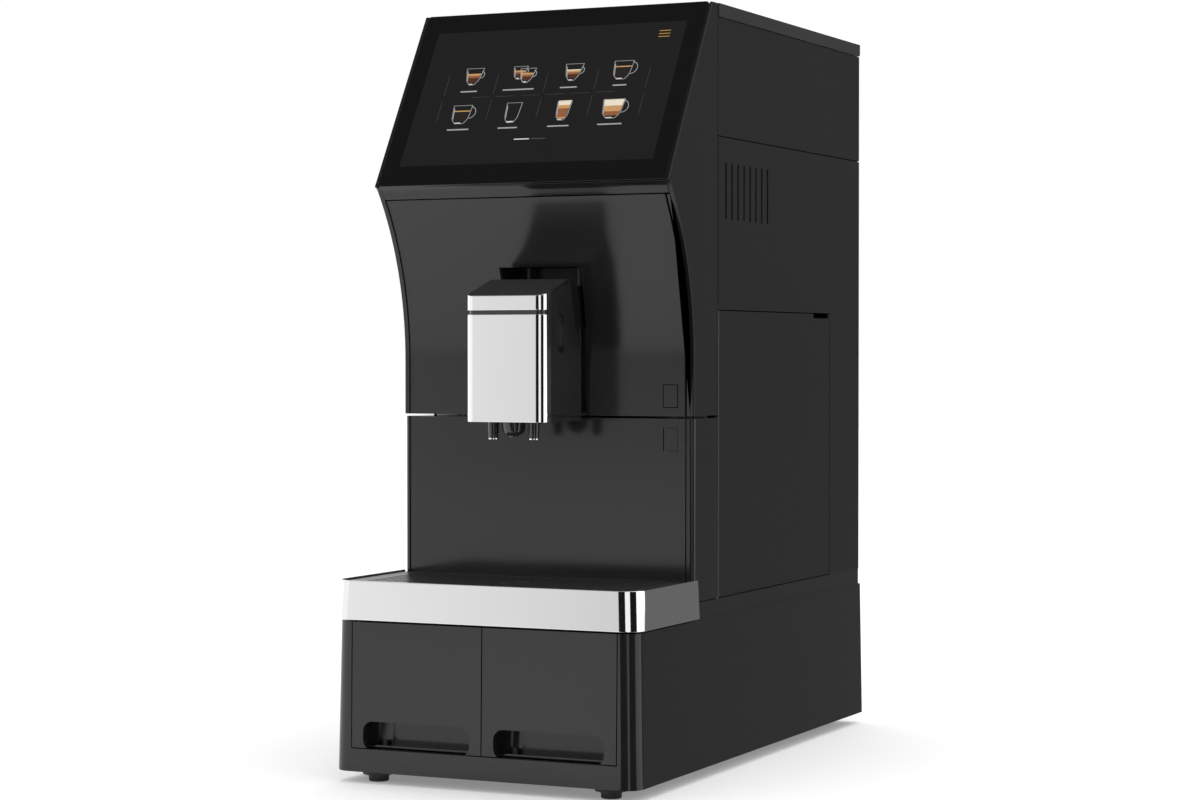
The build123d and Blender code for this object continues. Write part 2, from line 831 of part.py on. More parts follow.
# ---------------------------------------------------------------- lower front panel and port flap
flap_axis_inset = 1.6
flap_pin_radius = 0.6
flap_thickness = 2.6
flap_top_z = door_seam_z - flap_drop
flap_foot_z = flap_top_z - button_height
flap_axis = (button_x + flap_axis_inset, door_y + flap_axis_inset)
button_end = button_x + button_width
lower_panel_foot_z = deck_top_z + panel_gap
with BuildPart() as lower_front_panel:
    with BuildSketch(Plane.XY.offset(lower_panel_foot_z)) as panel_outline:
        with Locations((0, (door_y + door_back_y) / 2)):
            Rectangle(body_width, door_back_y - door_y)
        fillet(panel_outline.vertices().group_by(Axis.Y)[0], flank)
    extrude(amount=lower_panel_top_z - lower_panel_foot_z)
    block(
        (-side_x + skin, side_x - skin),
        (door_y + skin, door_back_y + 1),
        (lower_panel_foot_z - 1, lower_panel_top_z - skin),
        Mode.SUBTRACT,
    )
    for side in (-1, 1):
        low, high = sorted((side * panel_half, side * (panel_half + groove_width)))
        block(
            (low, high),
            (door_y - 1, door_y + groove_depth),
            (lower_panel_foot_z - 1, lower_panel_top_z + 1),
            Mode.SUBTRACT,
        )
    # closed pocket behind the flap
    block(
        (button_x - 3, button_end + 3),
        (door_y + skin, door_y + port_depth + 2),
        (flap_foot_z - 3, flap_top_z + 3),
    )
    block(
        (button_x, button_end),
        (door_y - 1, door_y + port_depth),
        (flap_foot_z, flap_top_z),
        Mode.SUBTRACT,
    )
    bar("Z", flap_axis, (flap_foot_z - 2.5, flap_top_z + 2.5), flap_pin_radius, Mode.SUBTRACT)
save(lower_front_panel, "lower_front_panel")

with BuildPart() as port_flap:
    block(
        (flap_axis[0], button_end - button_gap),
        (door_y, door_y + flap_thickness),
        (flap_foot_z + button_gap, flap_top_z - button_gap),
    )
    bar(
        "Z",
        flap_axis,
        (flap_foot_z + button_gap, flap_top_z - button_gap),
        flap_axis_inset - button_gap / 2,
    )
    block(
        (button_x - 1, flap_axis[0]),
        (flap_axis[1] + flap_axis_inset - button_gap / 2, door_y + 2 * flap_thickness),
        (flap_foot_z, flap_top_z),
        Mode.SUBTRACT,
    )
    bar("Z", flap_axis, (flap_foot_z - 1, flap_top_z + 1), flap_pin_radius + pin_gap, Mode.SUBTRACT)
save(port_flap, "port_flap")

with BuildPart() as hinge_pins:
    bar("Z", door_axis, (hinge_foot_z, hinge_top_z), hinge_pin_radius)
    bar(
        "Z",
        side_door_axis,
        (deck_top_z - side_pin_length, side_door_foot_z + side_pin_length - 1),
        small_pin_radius,
    )
    bar(
        "Z",
        side_door_axis,
        (side_door_top_z - side_pin_length + 1, side_opening_top_z + side_pin_length),
        small_pin_radius,
    )
    for x in (-lid_pin_x, lid_pin_x):
        bar("X", lid_axis, (x - lid_pin_reach + 0.5, x + lid_pin_reach - 0.5), hinge_pin_radius)
    bar("Z", flap_axis, (flap_foot_z - 2.5, flap_top_z + 2.5), flap_pin_radius)
save(hinge_pins, "hinge_pins")

# ---------------------------------------------------------------- screen door
flank_foot = (door_back_y, door_foot_z)
frame_edge_drop = 0.4  # flank edge just under the glass face
glass_edge = glass_foot + outward * -frame_edge_drop
flank_rise = (top_z - glass_edge.Z) / slope.Z
flank_top = glass_edge + slope * flank_rise
arc_top_z = glass_edge.Z - 2.4


def make_flank(side, name):
    """One side wall of the door, with the sunken strip beside the front panel."""
    low, high = sorted((side * side_x, side * (side_x - flank)))
    face = face_line(0, door_foot_z, arc_top_z)
    with BuildPart() as door_side:
        with BuildSketch(Plane.YZ.offset(low)):
            with BuildLine():
                Line(face[0], face[1])
                ThreePointArc(face[1], face[2], face[3])
                Polyline(
                    face[3],
                    (glass_edge.Y, glass_edge.Z),
                    (flank_top.Y, flank_top.Z),
                    (door_back_y, top_z),
                    flank_foot,
                    face[0],
                )
            make_face()
        extrude(amount=high - low)
        strip = sorted((side * (side_x - flank), side * (panel_half + 0.3)))
        face_layer(groove_depth, groove_depth + 2, door_foot_z, chin_z - 0.5, strip)
        glass_slab(
            glass_half + button_gap,
            -button_gap,
            glass_length + 20,
            -10,
            glass_thickness + 0.2,
            Mode.SUBTRACT,
        )
        if side < 0:
            # round rear edge that turns about the hinge pin, with room for the knuckles
            block(
                (-side_x - 1, door_axis[0]),
                (door_axis[1], door_back_y + 1),
                (door_foot_z - 1, top_z + 1),
                Mode.SUBTRACT,
            )
            bar("Z", door_axis, (door_foot_z, top_z), hinge_bead)
            for foot in knuckle_feet:
                block(
                    (-side_x - 1, door_axis[0] + hinge_bead + knuckle_gap),
                    (door_axis[1] - hinge_bead - knuckle_gap, door_back_y + 1),
                    (foot - knuckle_gap, foot + knuckle_height + knuckle_gap),
                    Mode.SUBTRACT,
                )
            bar(
                "Z",
                door_axis,
                (hinge_foot_z - 0.5, hinge_top_z + 0.5),
                hinge_pin_radius + pin_gap,
                Mode.SUBTRACT,
            )
    save(door_side, name)


make_flank(-1, "door_side_left")
make_flank(1, "door_side_right")

latch_foot_z = door_seam_z + latch_rise
latch_top_z = latch_foot_z + button_height
boss_depth = 8.0
with BuildPart() as door_front_panel:
    face_layer(0, skin, door_foot_z, chin_z - 0.5, (-panel_half, panel_half))
    block(
        (-opening_half, opening_half),
        (door_y - glass_foot_out, door_y + skin + 1),
        (door_foot_z - 1, door_seam_z + opening_rise),
        Mode.SUBTRACT,
    )
    # guide frame of the latch button
    block(
        (button_x - 2, button_end + 2),
        (door_y + skin, door_y + skin + boss_depth),
        (latch_foot_z - 2, latch_top_z + 2),
    )
    block(
        (button_x, button_end),
        (door_y - 1, door_y + skin + boss_depth + 1),
        (latch_foot_z, latch_top_z),
        Mode.SUBTRACT,
    )
save(door_front_panel, "door_front_panel")

with BuildPart() as door_latch_button:
    block(
        (button_x + button_gap, button_end - button_gap),
        (door_y, door_y + skin + 4),
        (latch_foot_z + button_gap, latch_top_z - button_gap),
    )
save(door_latch_button, "door_latch_button")

frame_half = side_x - flank
frame_top_z = chin_z - 8
with BuildPart() as door_inner_frame:
    block(
        (-frame_half, frame_half),
        (door_y + skin + groove_depth, door_back_y),
        (door_foot_z, door_foot_z + skin),
    )
    block(
        (-frame_half + 8, frame_half),
        (door_back_y - skin, door_back_y),
        (door_foot_z + skin, frame_top_z),
    )
    block(
        (-opening_half - 12, opening_half + 12),
        (door_back_y - skin - 1, door_back_y + 1),
        (door_foot_z + 30, door_seam_z + opening_rise),
        Mode.SUBTRACT,
    )
    # keeps clear of the hinge knuckles and the latch guide
    block(
        (-frame_half - 1, door_axis[0] + hinge_bead + knuckle_gap),
        (door_axis[1] - hinge_bead - knuckle_gap, door_back_y + 1),
        (door_foot_z - 1, door_foot_z + skin + 1),
        Mode.SUBTRACT,
    )
save(door_inner_frame, "door_inner_frame")

with BuildPart() as screen_back_cover:
    block(
        (-frame_half + 8, frame_half),
        (door_back_y - skin, door_back_y),
        (frame_top_z + 0.4, top_z - 12),
    )
save(screen_back_cover, "screen_back_cover")

display_pocket_gap = 0.3
with BuildPart() as screen_frame:
    glass_slab(frame_half, 0, glass_length, glass_thickness, glass_thickness + screen_frame_depth)
    face_layer(0, 14, door_foot_z, glass_foot.Z - 2, (-frame_half, frame_half))
    block((-side_x, side_x), (front_y, seam_y), (door_foot_z - 1, chin_z + 0.5), Mode.SUBTRACT)
    glass_slab(side_x, -20, glass_length + 40, -40, glass_thickness, Mode.SUBTRACT)
    glass_slab(
        display_width / 2 + display_pocket_gap,
        display_start - display_pocket_gap,
        display_length + 2 * display_pocket_gap,
        glass_thickness - 1,
        glass_thickness + display_thickness + 0.2,
        Mode.SUBTRACT,
    )
    # stays under the lid line at the top
    block((-side_x, side_x), (door_y, seam_y), (top_z, top_z + 40), Mode.SUBTRACT)
    # and ahead of the hinge bead and the back cover
    block(
        (-side_x, side_x),
        (door_back_y - 2 * hinge_bead - 0.2, seam_y + 40),
        (door_foot_z, top_z + 40),
        Mode.SUBTRACT,
    )
save(screen_frame, "screen_frame")

with BuildPart() as screen_glass:
    glass_slab(glass_half, 0, glass_length, 0, glass_thickness, corner=4.0)
save(screen_glass, "screen_glass")

with BuildPart() as display_panel:
    glass_slab(
        display_width / 2,
        display_start,
        display_length,
        glass_thickness,
        glass_thickness + display_thickness,
    )
save(display_panel, "display_panel")

channel_foot_z = door_foot_z + skin
channel_top_z = door_seam_z + opening_rise
channel_half = opening_half - 0.5
channel_back_y = door_y + channel_depth
channel_wall = 2.0
with BuildPart() as dispenser_channel:
    block(
        (-channel_half - channel_wall, channel_half + channel_wall),
        (door_y - 40, channel_back_y),
        (channel_foot_z, channel_top_z + channel_wall),
    )
    block(
        (-channel_half, channel_half),
        (door_y - 41, channel_back_y - channel_wall),
        (channel_foot_z - 1, channel_top_z),
        Mode.SUBTRACT,
    )
    clear_ahead_of_face(
        skin,
        channel_foot_z - 1,
        channel_top_z + channel_wall + 1,
        (-channel_half - channel_wall - 1, channel_half + channel_wall + 1),
    )
save(dispenser_channel, "dispenser_channel")

rail_y = door_y + rail_back
with BuildPart() as dispenser_rails:
    for x in (-rail_x, rail_x):
        bar("Z", (x, rail_y), (channel_foot_z, channel_top_z), rail_radius)
save(dispenser_rails, "dispenser_rails")

# ---------------------------------------------------------------- dispenser
head_front_y = door_y - head_reach
head_foot_z = door_seam_z - head_bottom_drop
head_front_top_z = door_seam_z + head_front_rise
head_back_top_z = door_seam_z + head_back_rise
head_top_back_y = door_y - 39.0
head_lean_y = door_y - 10.7
head_lean_z = door_seam_z + 53.5
plate_back_y = head_front_y + plate_corner + plate_return
plate_top_z = door_seam_z + plate_top_rise
band_low_z = door_seam_z + band_foot_rise
cap_thickness = 3.0
core_half = head_half - plate_thickness
core_front_y = head_front_y + plate_thickness
core_corner = plate_corner - plate_thickness
neck_foot_z = door_seam_z + neck_foot_rise
neck_top_z = door_seam_z + head_back_rise
grip_recess_depth = 6.0


def head_outline(half, front, back, corner):
    """Plan of the dispenser with round front corners, as a sketch on the counter plane."""
    with BuildSketch() as plan:
        with Locations((0, (front + back) / 2)):
            Rectangle(2 * half, back - front)
        fillet(plan.vertices().group_by(Axis.Y)[0], corner)
    return plan.sketch


def clear_above_cap(drop):
    """Cuts away what lies above the sloping top, lowered by drop."""
    with BuildSketch(Plane.YZ.offset(-head_half - 1)) as above:
        with BuildLine():
            Polyline(
                (head_front_y - 2, head_front_top_z - drop),
                (head_front_y, head_front_top_z - drop),
                (head_top_back_y, head_back_top_z - drop),
                (door_y, head_back_top_z - drop),
                (door_y, head_back_top_z + 30),
                (head_front_y - 2, head_back_top_z + 30),
                close=True,
            )
        make_face()
    extrude(above.sketch, 2 * head_half + 2, mode=Mode.SUBTRACT)


with BuildPart() as dispenser_shell:
    with BuildSketch(Plane.XY.offset(head_foot_z)):
        add(head_outline(core_half, core_front_y, plate_back_y + 4, core_corner))
        with Locations((0, (plate_back_y + head_lean_y) / 2)):
            Rectangle(2 * head_half, head_lean_y - plate_back_y)
    extrude(amount=head_back_top_z - head_foot_z)
    clear_above_cap(cap_thickness)
    # rear edge leans forward towards the top
    with BuildSketch(Plane.YZ.offset(-head_half - 1)) as lean:
        with BuildLine():
            Polyline(
                (head_lean_y, head_lean_z),
                (head_top_back_y, head_back_top_z),
                (door_y + 10, head_back_top_z),
                (door_y + 10, head_lean_z),
                close=True,
            )
        make_face()
    extrude(lean.sketch, 2 * head_half + 2, mode=Mode.SUBTRACT)
    # hollow inside, and the neck that runs back to the rails
    block(
        (-core_half + skin, core_half - skin),
        (core_front_y + skin, head_lean_y - skin),
        (head_foot_z + head_floor, head_lean_z),
        Mode.SUBTRACT,
    )
    block(
        (-neck_half, neck_half),
        (door_y - neck_root, rail_y + rail_radius + 5),
        (neck_foot_z, neck_top_z - cap_thickness - 4),
    )
    for x in (-rail_x, rail_x):
        bar(
            "Z",
            (x, rail_y),
            (neck_foot_z - 1, neck_top_z + 1),
            rail_radius + pin_gap,
            Mode.SUBTRACT,
        )
    for x in (-spout_x, spout_x):
        bar(
            "Z",
            (x, door_y - spout_reach),
            (head_foot_z - 1, head_foot_z + head_floor + 1),
            spout_radius + 0.1,
            Mode.SUBTRACT,
        )
    # finger recess on each side
    recess_middle_z = door_seam_z + 87.8
    recess_middle_y = door_y - 58.5
    for side in (-1, 1):
        start = side * head_half
        with BuildSketch(Plane.YZ.offset(start)) as recess:
            with Locations((recess_middle_y, recess_middle_z)):
                SlotOverall(40.8, 23.0, rotation=90)
        extrude(recess.sketch, -side * grip_recess_depth, mode=Mode.SUBTRACT)
save(dispenser_shell, "dispenser_shell")


def make_cover(low, high, name):
    """A bent cover over the front corners of the dispenser, between two heights."""
    with BuildPart() as cover:
        with BuildSketch(Plane.XY.offset(low)):
            add(head_outline(head_half, head_front_y, plate_back_y, plate_corner))
            add(
                head_outline(core_half, core_front_y, plate_back_y + 20, core_corner),
                mode=Mode.SUBTRACT,
            )
        extrude(amount=high - low)
        if high > head_front_top_z - 1:
            clear_above_cap(0)
    save(cover, name)


make_cover(head_foot_z, plate_top_z, "dispenser_plate")
make_cover(band_low_z, head_back_top_z, "dispenser_band")

with BuildPart() as dispenser_cap:
    with BuildSketch(Plane.XY.offset(head_front_top_z - cap_thickness)):
        add(head_outline(core_half, core_front_y, plate_back_y + 4, core_corner))
        with Locations((0, (plate_back_y + head_top_back_y) / 2)):
            Rectangle(2 * head_half, head_top_back_y - plate_back_y)
    extrude(amount=head_back_top_z - head_front_top_z + cap_thickness)
    clear_above_cap(0)
    with BuildSketch(Plane.YZ.offset(-head_half - 1)) as under_cap:
        with BuildLine():
            Polyline(
                (head_front_y - 2, head_front_top_z - cap_thickness),
                (head_front_y, head_front_top_z - cap_thickness),
                (head_top_back_y, head_back_top_z - cap_thickness),
                (door_y, head_back_top_z - cap_thickness),
                (door_y, head_front_top_z - 30),
                (head_front_y - 2, head_front_top_z - 30),
                close=True,
            )
        make_face()
    extrude(under_cap.sketch, 2 * head_half + 2, mode=Mode.SUBTRACT)
save(dispenser_cap, "dispenser_cap")

spout_tip_z = door_seam_z - head_bottom_drop - spout_drop + 4.2
with BuildPart() as coffee_spouts:
    for x in (-spout_x, spout_x):
        bar(
            "Z",
            (x, door_y - spout_reach),
            (spout_tip_z, head_foot_z + head_floor + 6),
            spout_radius,
        )
        bar("Z", (x, door_y - spout_reach), (head_foot_z - 3, head_foot_z), spout_radius + 1.3)
        bar(
            "Z",
            (x, door_y - spout_reach),
            (spout_tip_z - 1, head_foot_z + head_floor + 7),
            2.6,
            Mode.SUBTRACT,
        )
save(coffee_spouts, "coffee_spouts")

with BuildPart() as water_nozzle:
    bar(
        "Z",
        (0, door_y - spout_reach),
        (head_foot_z - nozzle_drop + 4.2, head_foot_z),
        nozzle_radius,
    )
    fillet(water_nozzle.edges().filter_by(GeomType.CIRCLE).sort_by(Axis.Z)[0], 8.0)
save(water_nozzle, "water_nozzle")

# ---------------------------------------------------------------- inside the cabinet
shelf_z = door_seam_z + 158.0
shelf_thickness = 3.0
mill_x = 0.0
mill_y = cabinet_front_y + 150.0
motor_radius = 40.0
with BuildPart() as equipment_shelf:
    block(
        (-inner_x, inner_x),
        (bulkhead_back_y, cabinet_back_y - sheet),
        (shelf_z, shelf_z + shelf_thickness),
    )
    bar(
        "Z",
        (mill_x, mill_y),
        (shelf_z - 1, shelf_z + shelf_thickness + 1),
        motor_radius + 1,
        Mode.SUBTRACT,
    )
    # notch around the door's hinge leaf
    block(
        (-inner_x - 1, leaf_high + 0.3),
        (bulkhead_back_y - 1, leaf_front_y + 19),
        (shelf_z - 1, shelf_z + shelf_thickness + 1),
        Mode.SUBTRACT,
    )
save(equipment_shelf, "equipment_shelf")

mill_foot_z = shelf_z + shelf_thickness
mill_top_z = mill_foot_z + 56.0
burr_radius = 31.0
with BuildPart() as grinder_body:
    bar("Z", (mill_x, mill_y), (mill_foot_z, mill_top_z), 46.0)
    bar("Z", (mill_x, mill_y), (mill_foot_z + 14, mill_top_z - 8), burr_radius + 3, Mode.SUBTRACT)
    bar("Z", (mill_x, mill_y), (mill_foot_z + 10, mill_top_z + 1), 18.0, Mode.SUBTRACT)
save(grinder_body, "grinder_body")

with BuildPart() as grinder_burr:
    bar("Z", (mill_x, mill_y), (mill_foot_z + 16, mill_foot_z + 30), burr_radius)
    with Locations((mill_x, mill_y, mill_foot_z + 30)):
        with PolarLocations(22, 8):
            Box(14, 2, 4, mode=Mode.SUBTRACT)
save(grinder_burr, "grinder_burr")

with BuildPart() as grinder_motor:
    bar("Z", (mill_x, mill_y), (mill_foot_z - 108, mill_foot_z), motor_radius)
    fillet(grinder_motor.edges().filter_by(GeomType.CIRCLE).sort_by(Axis.Z)[0], 5.0)
save(grinder_motor, "grinder_motor")

hopper_half = (110.0, 105.0)
hopper_rim_z = body_top_z - 6.0
hopper_shoulder_z = hopper_rim_z - 90.0
hopper_neck_z = mill_top_z + 20.0
hopper_wall = 2.5


def hopper_form(shrink, lift, mode):
    """The hopper's outside or inside: a square bin that narrows to the mill."""
    block(
        (mill_x - hopper_half[0] + shrink, mill_x + hopper_half[0] - shrink),
        (mill_y - hopper_half[1] + shrink, mill_y + hopper_half[1] - shrink),
        (hopper_shoulder_z, hopper_rim_z + lift),
        mode,
    )
    sections = []
    for z, half_x, half_y in (
        (hopper_neck_z + shrink, 24.0, 24.0),
        (hopper_shoulder_z, hopper_half[0], hopper_half[1]),
    ):
        with BuildSketch(Plane.XY.offset(z)) as section:
            with Locations((mill_x, mill_y)):
                Rectangle(2 * (half_x - shrink), 2 * (half_y - shrink))
        sections.append(section.sketch)
    loft(sections, ruled=True, mode=mode)
    bar("Z", (mill_x, mill_y), (mill_top_z - lift, hopper_neck_z + shrink), 20.0 - shrink, mode)


with BuildPart() as bean_hopper:
    hopper_form(0.0, 0.0, Mode.ADD)
    hopper_form(hopper_wall, 1.0, Mode.SUBTRACT)
save(bean_hopper, "bean_hopper")

brew_x = side_x - 62.0
brew_y = cabinet_front_y + 120.0
brew_foot_z = deck_top_z
brew_top_z = door_seam_z + 40.0
chamber_radius = 30.0
with BuildPart() as brew_unit_frame:
    block((brew_x - 42, brew_x + 42), (brew_y - 50, brew_y + 50), (brew_foot_z, brew_top_z))
    block(
        (brew_x - 34, brew_x + 43),
        (brew_y - 42, brew_y + 42),
        (brew_foot_z + 110, brew_top_z - 12),
        Mode.SUBTRACT,
    )
    bar("Z", (brew_x, brew_y), (brew_foot_z + 20, brew_foot_z + 120), chamber_radius, Mode.SUBTRACT)
    bar("Z", (brew_x, brew_y), (brew_top_z - 20, brew_top_z + 1), 8.5, Mode.SUBTRACT)
save(brew_unit_frame, "brew_unit_frame")

with BuildPart() as brew_piston:
    bar("Z", (brew_x, brew_y), (brew_foot_z + 114, brew_foot_z + 134), chamber_radius - 0.4)
    bar("Z", (brew_x, brew_y), (brew_foot_z + 134, brew_top_z + 60), 8.0)
save(brew_piston, "brew_piston")

boiler_radius = 48.0
boiler_x = -side_x + 68.0
boiler_y = cabinet_front_y + 80.0
boiler_foot_z = deck_top_z + 22.0
boiler_top_z = boiler_foot_z + 170.0
with BuildPart() as boiler:
    bar("Z", (boiler_x, boiler_y), (boiler_foot_z, boiler_top_z), boiler_radius)
    fillet(boiler.edges().filter_by(GeomType.CIRCLE), 12.0)
    for turn in (-30, 30):
        with Locations((boiler_x + turn, boiler_y, boiler_top_z + 5)):
            Cylinder(7, 12)
    with Locations((boiler_x, boiler_y, deck_top_z + 12)):
        with PolarLocations(30, 3):
            Cylinder(4, 24)
save(boiler, "boiler")

room_floor_z = machine_room_floor
pump_x = -side_x + 60.0
pump_y = machine_room_front + 90.0
pump_z = room_floor_z + 34.0
with BuildPart() as water_pump:
    bar("Y", (pump_x, pump_z), (pump_y - 45, pump_y + 35), 26.0)
    block((pump_x - 20, pump_x + 20), (pump_y + 35, pump_y + 62), (pump_z - 20, pump_z + 22))
    block((pump_x - 24, pump_x + 24), (pump_y - 35, pump_y + 25), (room_floor_z, pump_z - 18))
    bar("Z", (pump_x, pump_y + 50), (pump_z + 22, pump_z + 32), 6.0)
save(water_pump, "water_pump")

supply_x = side_x - 95.0
with BuildPart() as power_supply:
    block(
        (supply_x - 55, supply_x + 55),
        (machine_room_front + 20, machine_room_front + 190),
        (room_floor_z, room_floor_z + 52),
    )
    for number in range(12):
        y = machine_room_front + 40 + number * 12
        block(
            (supply_x - 40, supply_x + 40),
            (y, y + 3),
            (room_floor_z + 50, room_floor_z + 53),
            Mode.SUBTRACT,
        )
save(power_supply, "power_supply")

board_y = cabinet_back_y - 190.0
with BuildPart() as control_board:
    block(
        (-inner_x + 6, -inner_x + 7.6),
        (board_y, board_y + 150),
        (deck_top_z + 60, deck_top_z + 260),
    )
    for dy, dz, deep, long, tall in (
        (20, 90, 14, 40, 30),
        (80, 80, 22, 45, 60),
        (20, 150, 10, 60, 20),
        (90, 180, 18, 36, 50),
    ):
        block(
            (-inner_x + 7.6, -inner_x + 7.6 + deep),
            (board_y + dy, board_y + dy + long),
            (deck_top_z + dz, deck_top_z + dz + tall),
        )
    for y in (board_y + 6, board_y + 144):
        for z in (deck_top_z + 66, deck_top_z + 254):
            bar("X", (y, z), (-inner_x, -inner_x + 6), 3.0)
save(control_board, "control_board")

fan_y = seam_y + vent_start + (vent_count - 1) * vent_pitch / 2
fan_z = body_top_z - vent_top_drop - vent_height / 2
fan_depth = 25.0
fan_half = 40.0
with BuildPart() as fan_frame:
    block(
        (inner_x - fan_depth, inner_x),
        (fan_y - fan_half, fan_y + fan_half),
        (fan_z - fan_half, fan_z + fan_half),
    )
    bar("X", (fan_y, fan_z), (inner_x - fan_depth - 1, inner_x + 1), fan_half - 2, Mode.SUBTRACT)
    for z in (-1, 1):
        block(
            (inner_x - fan_depth, inner_x - fan_depth + 3),
            (fan_y - fan_half, fan_y + fan_half),
            (fan_z + z * 9 - 2, fan_z + z * 9 + 2),
        )
save(fan_frame, "fan_frame")

with BuildPart() as fan_rotor:
    bar("X", (fan_y, fan_z), (inner_x - fan_depth + 4, inner_x - 3), 16.0)
    hub_plane = Plane(origin=(inner_x - fan_depth + 5, fan_y, fan_z), x_dir=(0, 1, 0), z_dir=(1, 0, 0))
    with BuildSketch(hub_plane) as blades:
        with PolarLocations(25, 7):
            Rectangle(21, 2.4)
    extrude(blades.sketch, 15)
save(fan_rotor, "fan_rotor")

hose_radius = 4.0
hose_bend = 22.0
with BuildPart() as boiler_hose:
    with BuildLine() as hose_route:
        FilletPolyline(
            (boiler_x + 30, boiler_y, boiler_top_z + 11),
            (boiler_x + 30, boiler_y, boiler_top_z + 60),
            (brew_x - 60, boiler_y, boiler_top_z + 60),
            (brew_x - 60, boiler_y, boiler_top_z - 20),
            radius=hose_bend,
        )
    with BuildSketch(Plane(origin=hose_route.line @ 0, z_dir=hose_route.line % 0)):
        Circle(hose_radius)
    sweep()
save(boiler_hose, "boiler_hose")

screw_head_radius = 3.6
screw_places = [
    (x, z)
    for x in (-side_x + 14, side_x - 14)
    for z in (deck_top_z + 16, (deck_top_z + body_top_z) / 2, body_top_z - 16)
]
with BuildPart() as panel_screws:
    for x, z in screw_places:
        bar("Y", (x, z), (cabinet_back_y, cabinet_back_y + 2.2), screw_head_radius)
        with BuildSketch(Plane.XZ.offset(-cabinet_back_y - 2.2)) as socket:
            with Locations((x, z)):
                RegularPolygon(1.6, 6)
        extrude(socket.sketch, 1.4, mode=Mode.SUBTRACT)
save(panel_screws, "panel_screws")
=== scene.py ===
# %% [markdown]
# # A countertop coffee machine in Blender
# The machine arrives as a fixed frame of exact parts. This lesson gives every part its finish: satin black
# plastic, painted sheet, polished chrome, dark glass with a lit menu, and the small details in between.
# Lengths are metres, +Z is up and the user stands at -Y.

# %% Load the frame
import json
from math import cos, pi, radians, sin

import bmesh
import bpy
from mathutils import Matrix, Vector


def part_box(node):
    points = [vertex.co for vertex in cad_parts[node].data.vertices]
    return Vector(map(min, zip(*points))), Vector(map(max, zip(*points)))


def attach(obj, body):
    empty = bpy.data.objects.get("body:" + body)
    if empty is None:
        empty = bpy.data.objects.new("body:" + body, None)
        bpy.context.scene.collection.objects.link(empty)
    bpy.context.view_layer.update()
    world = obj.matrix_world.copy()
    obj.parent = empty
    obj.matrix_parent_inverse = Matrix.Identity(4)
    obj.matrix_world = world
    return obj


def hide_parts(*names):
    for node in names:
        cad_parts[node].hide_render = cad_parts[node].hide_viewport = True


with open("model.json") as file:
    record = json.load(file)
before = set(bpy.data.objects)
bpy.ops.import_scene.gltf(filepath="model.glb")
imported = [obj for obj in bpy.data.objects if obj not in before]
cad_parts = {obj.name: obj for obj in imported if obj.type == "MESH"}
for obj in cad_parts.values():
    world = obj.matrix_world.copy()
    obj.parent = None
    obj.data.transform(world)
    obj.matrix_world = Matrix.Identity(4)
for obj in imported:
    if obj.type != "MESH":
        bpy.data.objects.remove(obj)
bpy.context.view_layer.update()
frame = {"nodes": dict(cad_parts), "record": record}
MM = 0.001

# %% [markdown]
# ## Camera
# A long lens from the front right keeps the upright edges of the machine almost upright. The camera stands
# about three metres away, a little above the middle of the machine, and looks very slightly down, so the tray's
# top is a thin strip and the lid's top stays hidden.

# %% Camera
CAMERA_PLACE = Vector((1.27691, -2.80474, 0.44786))
CAMERA_TURN = radians(24.82)
CAMERA_DIP = radians(1.04)
lens = bpy.data.cameras.new("front_right_camera")
lens.sensor_width = 36.0
lens.lens = 82.70
lens.clip_end = 60.0
camera = bpy.data.objects.new("front_right_camera", lens)
camera.location = CAMERA_PLACE
camera.rotation_euler = (radians(90) - CAMERA_DIP, 0, CAMERA_TURN)
bpy.context.scene.collection.objects.link(camera)
bpy.context.scene.camera = camera
bpy.context.scene.view_settings.view_transform = "Standard"
print("camera", tuple(round(v, 3) for v in camera.location))

# %% [markdown]
# ## Studio
# Black gloss and chrome show the room more than themselves. Many small lamps would leave spots on them, so the
# room is a pale, even tent instead, with a few cards that only mirror-like surfaces see. The dark cards draw
# the streaks along the round corners, and the fading one makes each front a little darker towards its right
# edge.
# Low parts mirror the floor and not the walls, so the same streaks need dark wedges on the floor too.


# %% Studio helpers
def glow_material(name, level):
    """A surface that shines evenly, for cards and backdrops."""
    material = bpy.data.materials.new(name)
    material.use_nodes = True
    nodes = material.node_tree.nodes
    nodes.clear()
    glow = nodes.new("ShaderNodeEmission")
    glow.inputs["Color"].default_value = (level, level, level, 1)
    out = nodes.new("ShaderNodeOutputMaterial")
    material.node_tree.links.new(glow.outputs[0], out.inputs["Surface"])
    return material


def fade_across(piece, start, end):
    """Makes a card fade along x, from (x, level) to (x, level)."""
    tree = piece.data.materials[0].node_tree
    place = tree.nodes.new("ShaderNodeTexCoord")
    split = tree.nodes.new("ShaderNodeSeparateXYZ")
    fade = tree.nodes.new("ShaderNodeMapRange")
    tree.links.new(place.outputs["Object"], split.inputs[0])
    tree.links.new(split.outputs["X"], fade.inputs["Value"])
    for name, value in (("From Min", start[0]), ("From Max", end[0]), ("To Min", start[1]), ("To Max", end[1])):
        fade.inputs[name].default_value = value
    glow = next(node for node in tree.nodes if node.type == "EMISSION")
    glow.inputs["Color"].default_value = (1, 1, 1, 1)
    tree.links.new(fade.outputs["Result"], glow.inputs["Strength"])


CARD_HEIGHT = 9.0
CARD_MIDDLE = 1.0


def card(name, compass, distance, width, level):
    """An upright card that faces the machine; compass 0 is in front, 90 on the user's right."""
    a = radians(compass)
    middle = Vector((distance * sin(a), -distance * cos(a), CARD_MIDDLE))
    across = Vector((cos(a), sin(a), 0)) * width / 2
    up = Vector((0, 0, CARD_HEIGHT / 2))
    mesh = bpy.data.meshes.new(name)
    corners = [middle - across - up, middle + across - up, middle + across + up, middle - across + up]
    mesh.from_pydata([tuple(c) for c in corners], [], [(0, 1, 2, 3)])
    return finish_card(name, mesh, level)


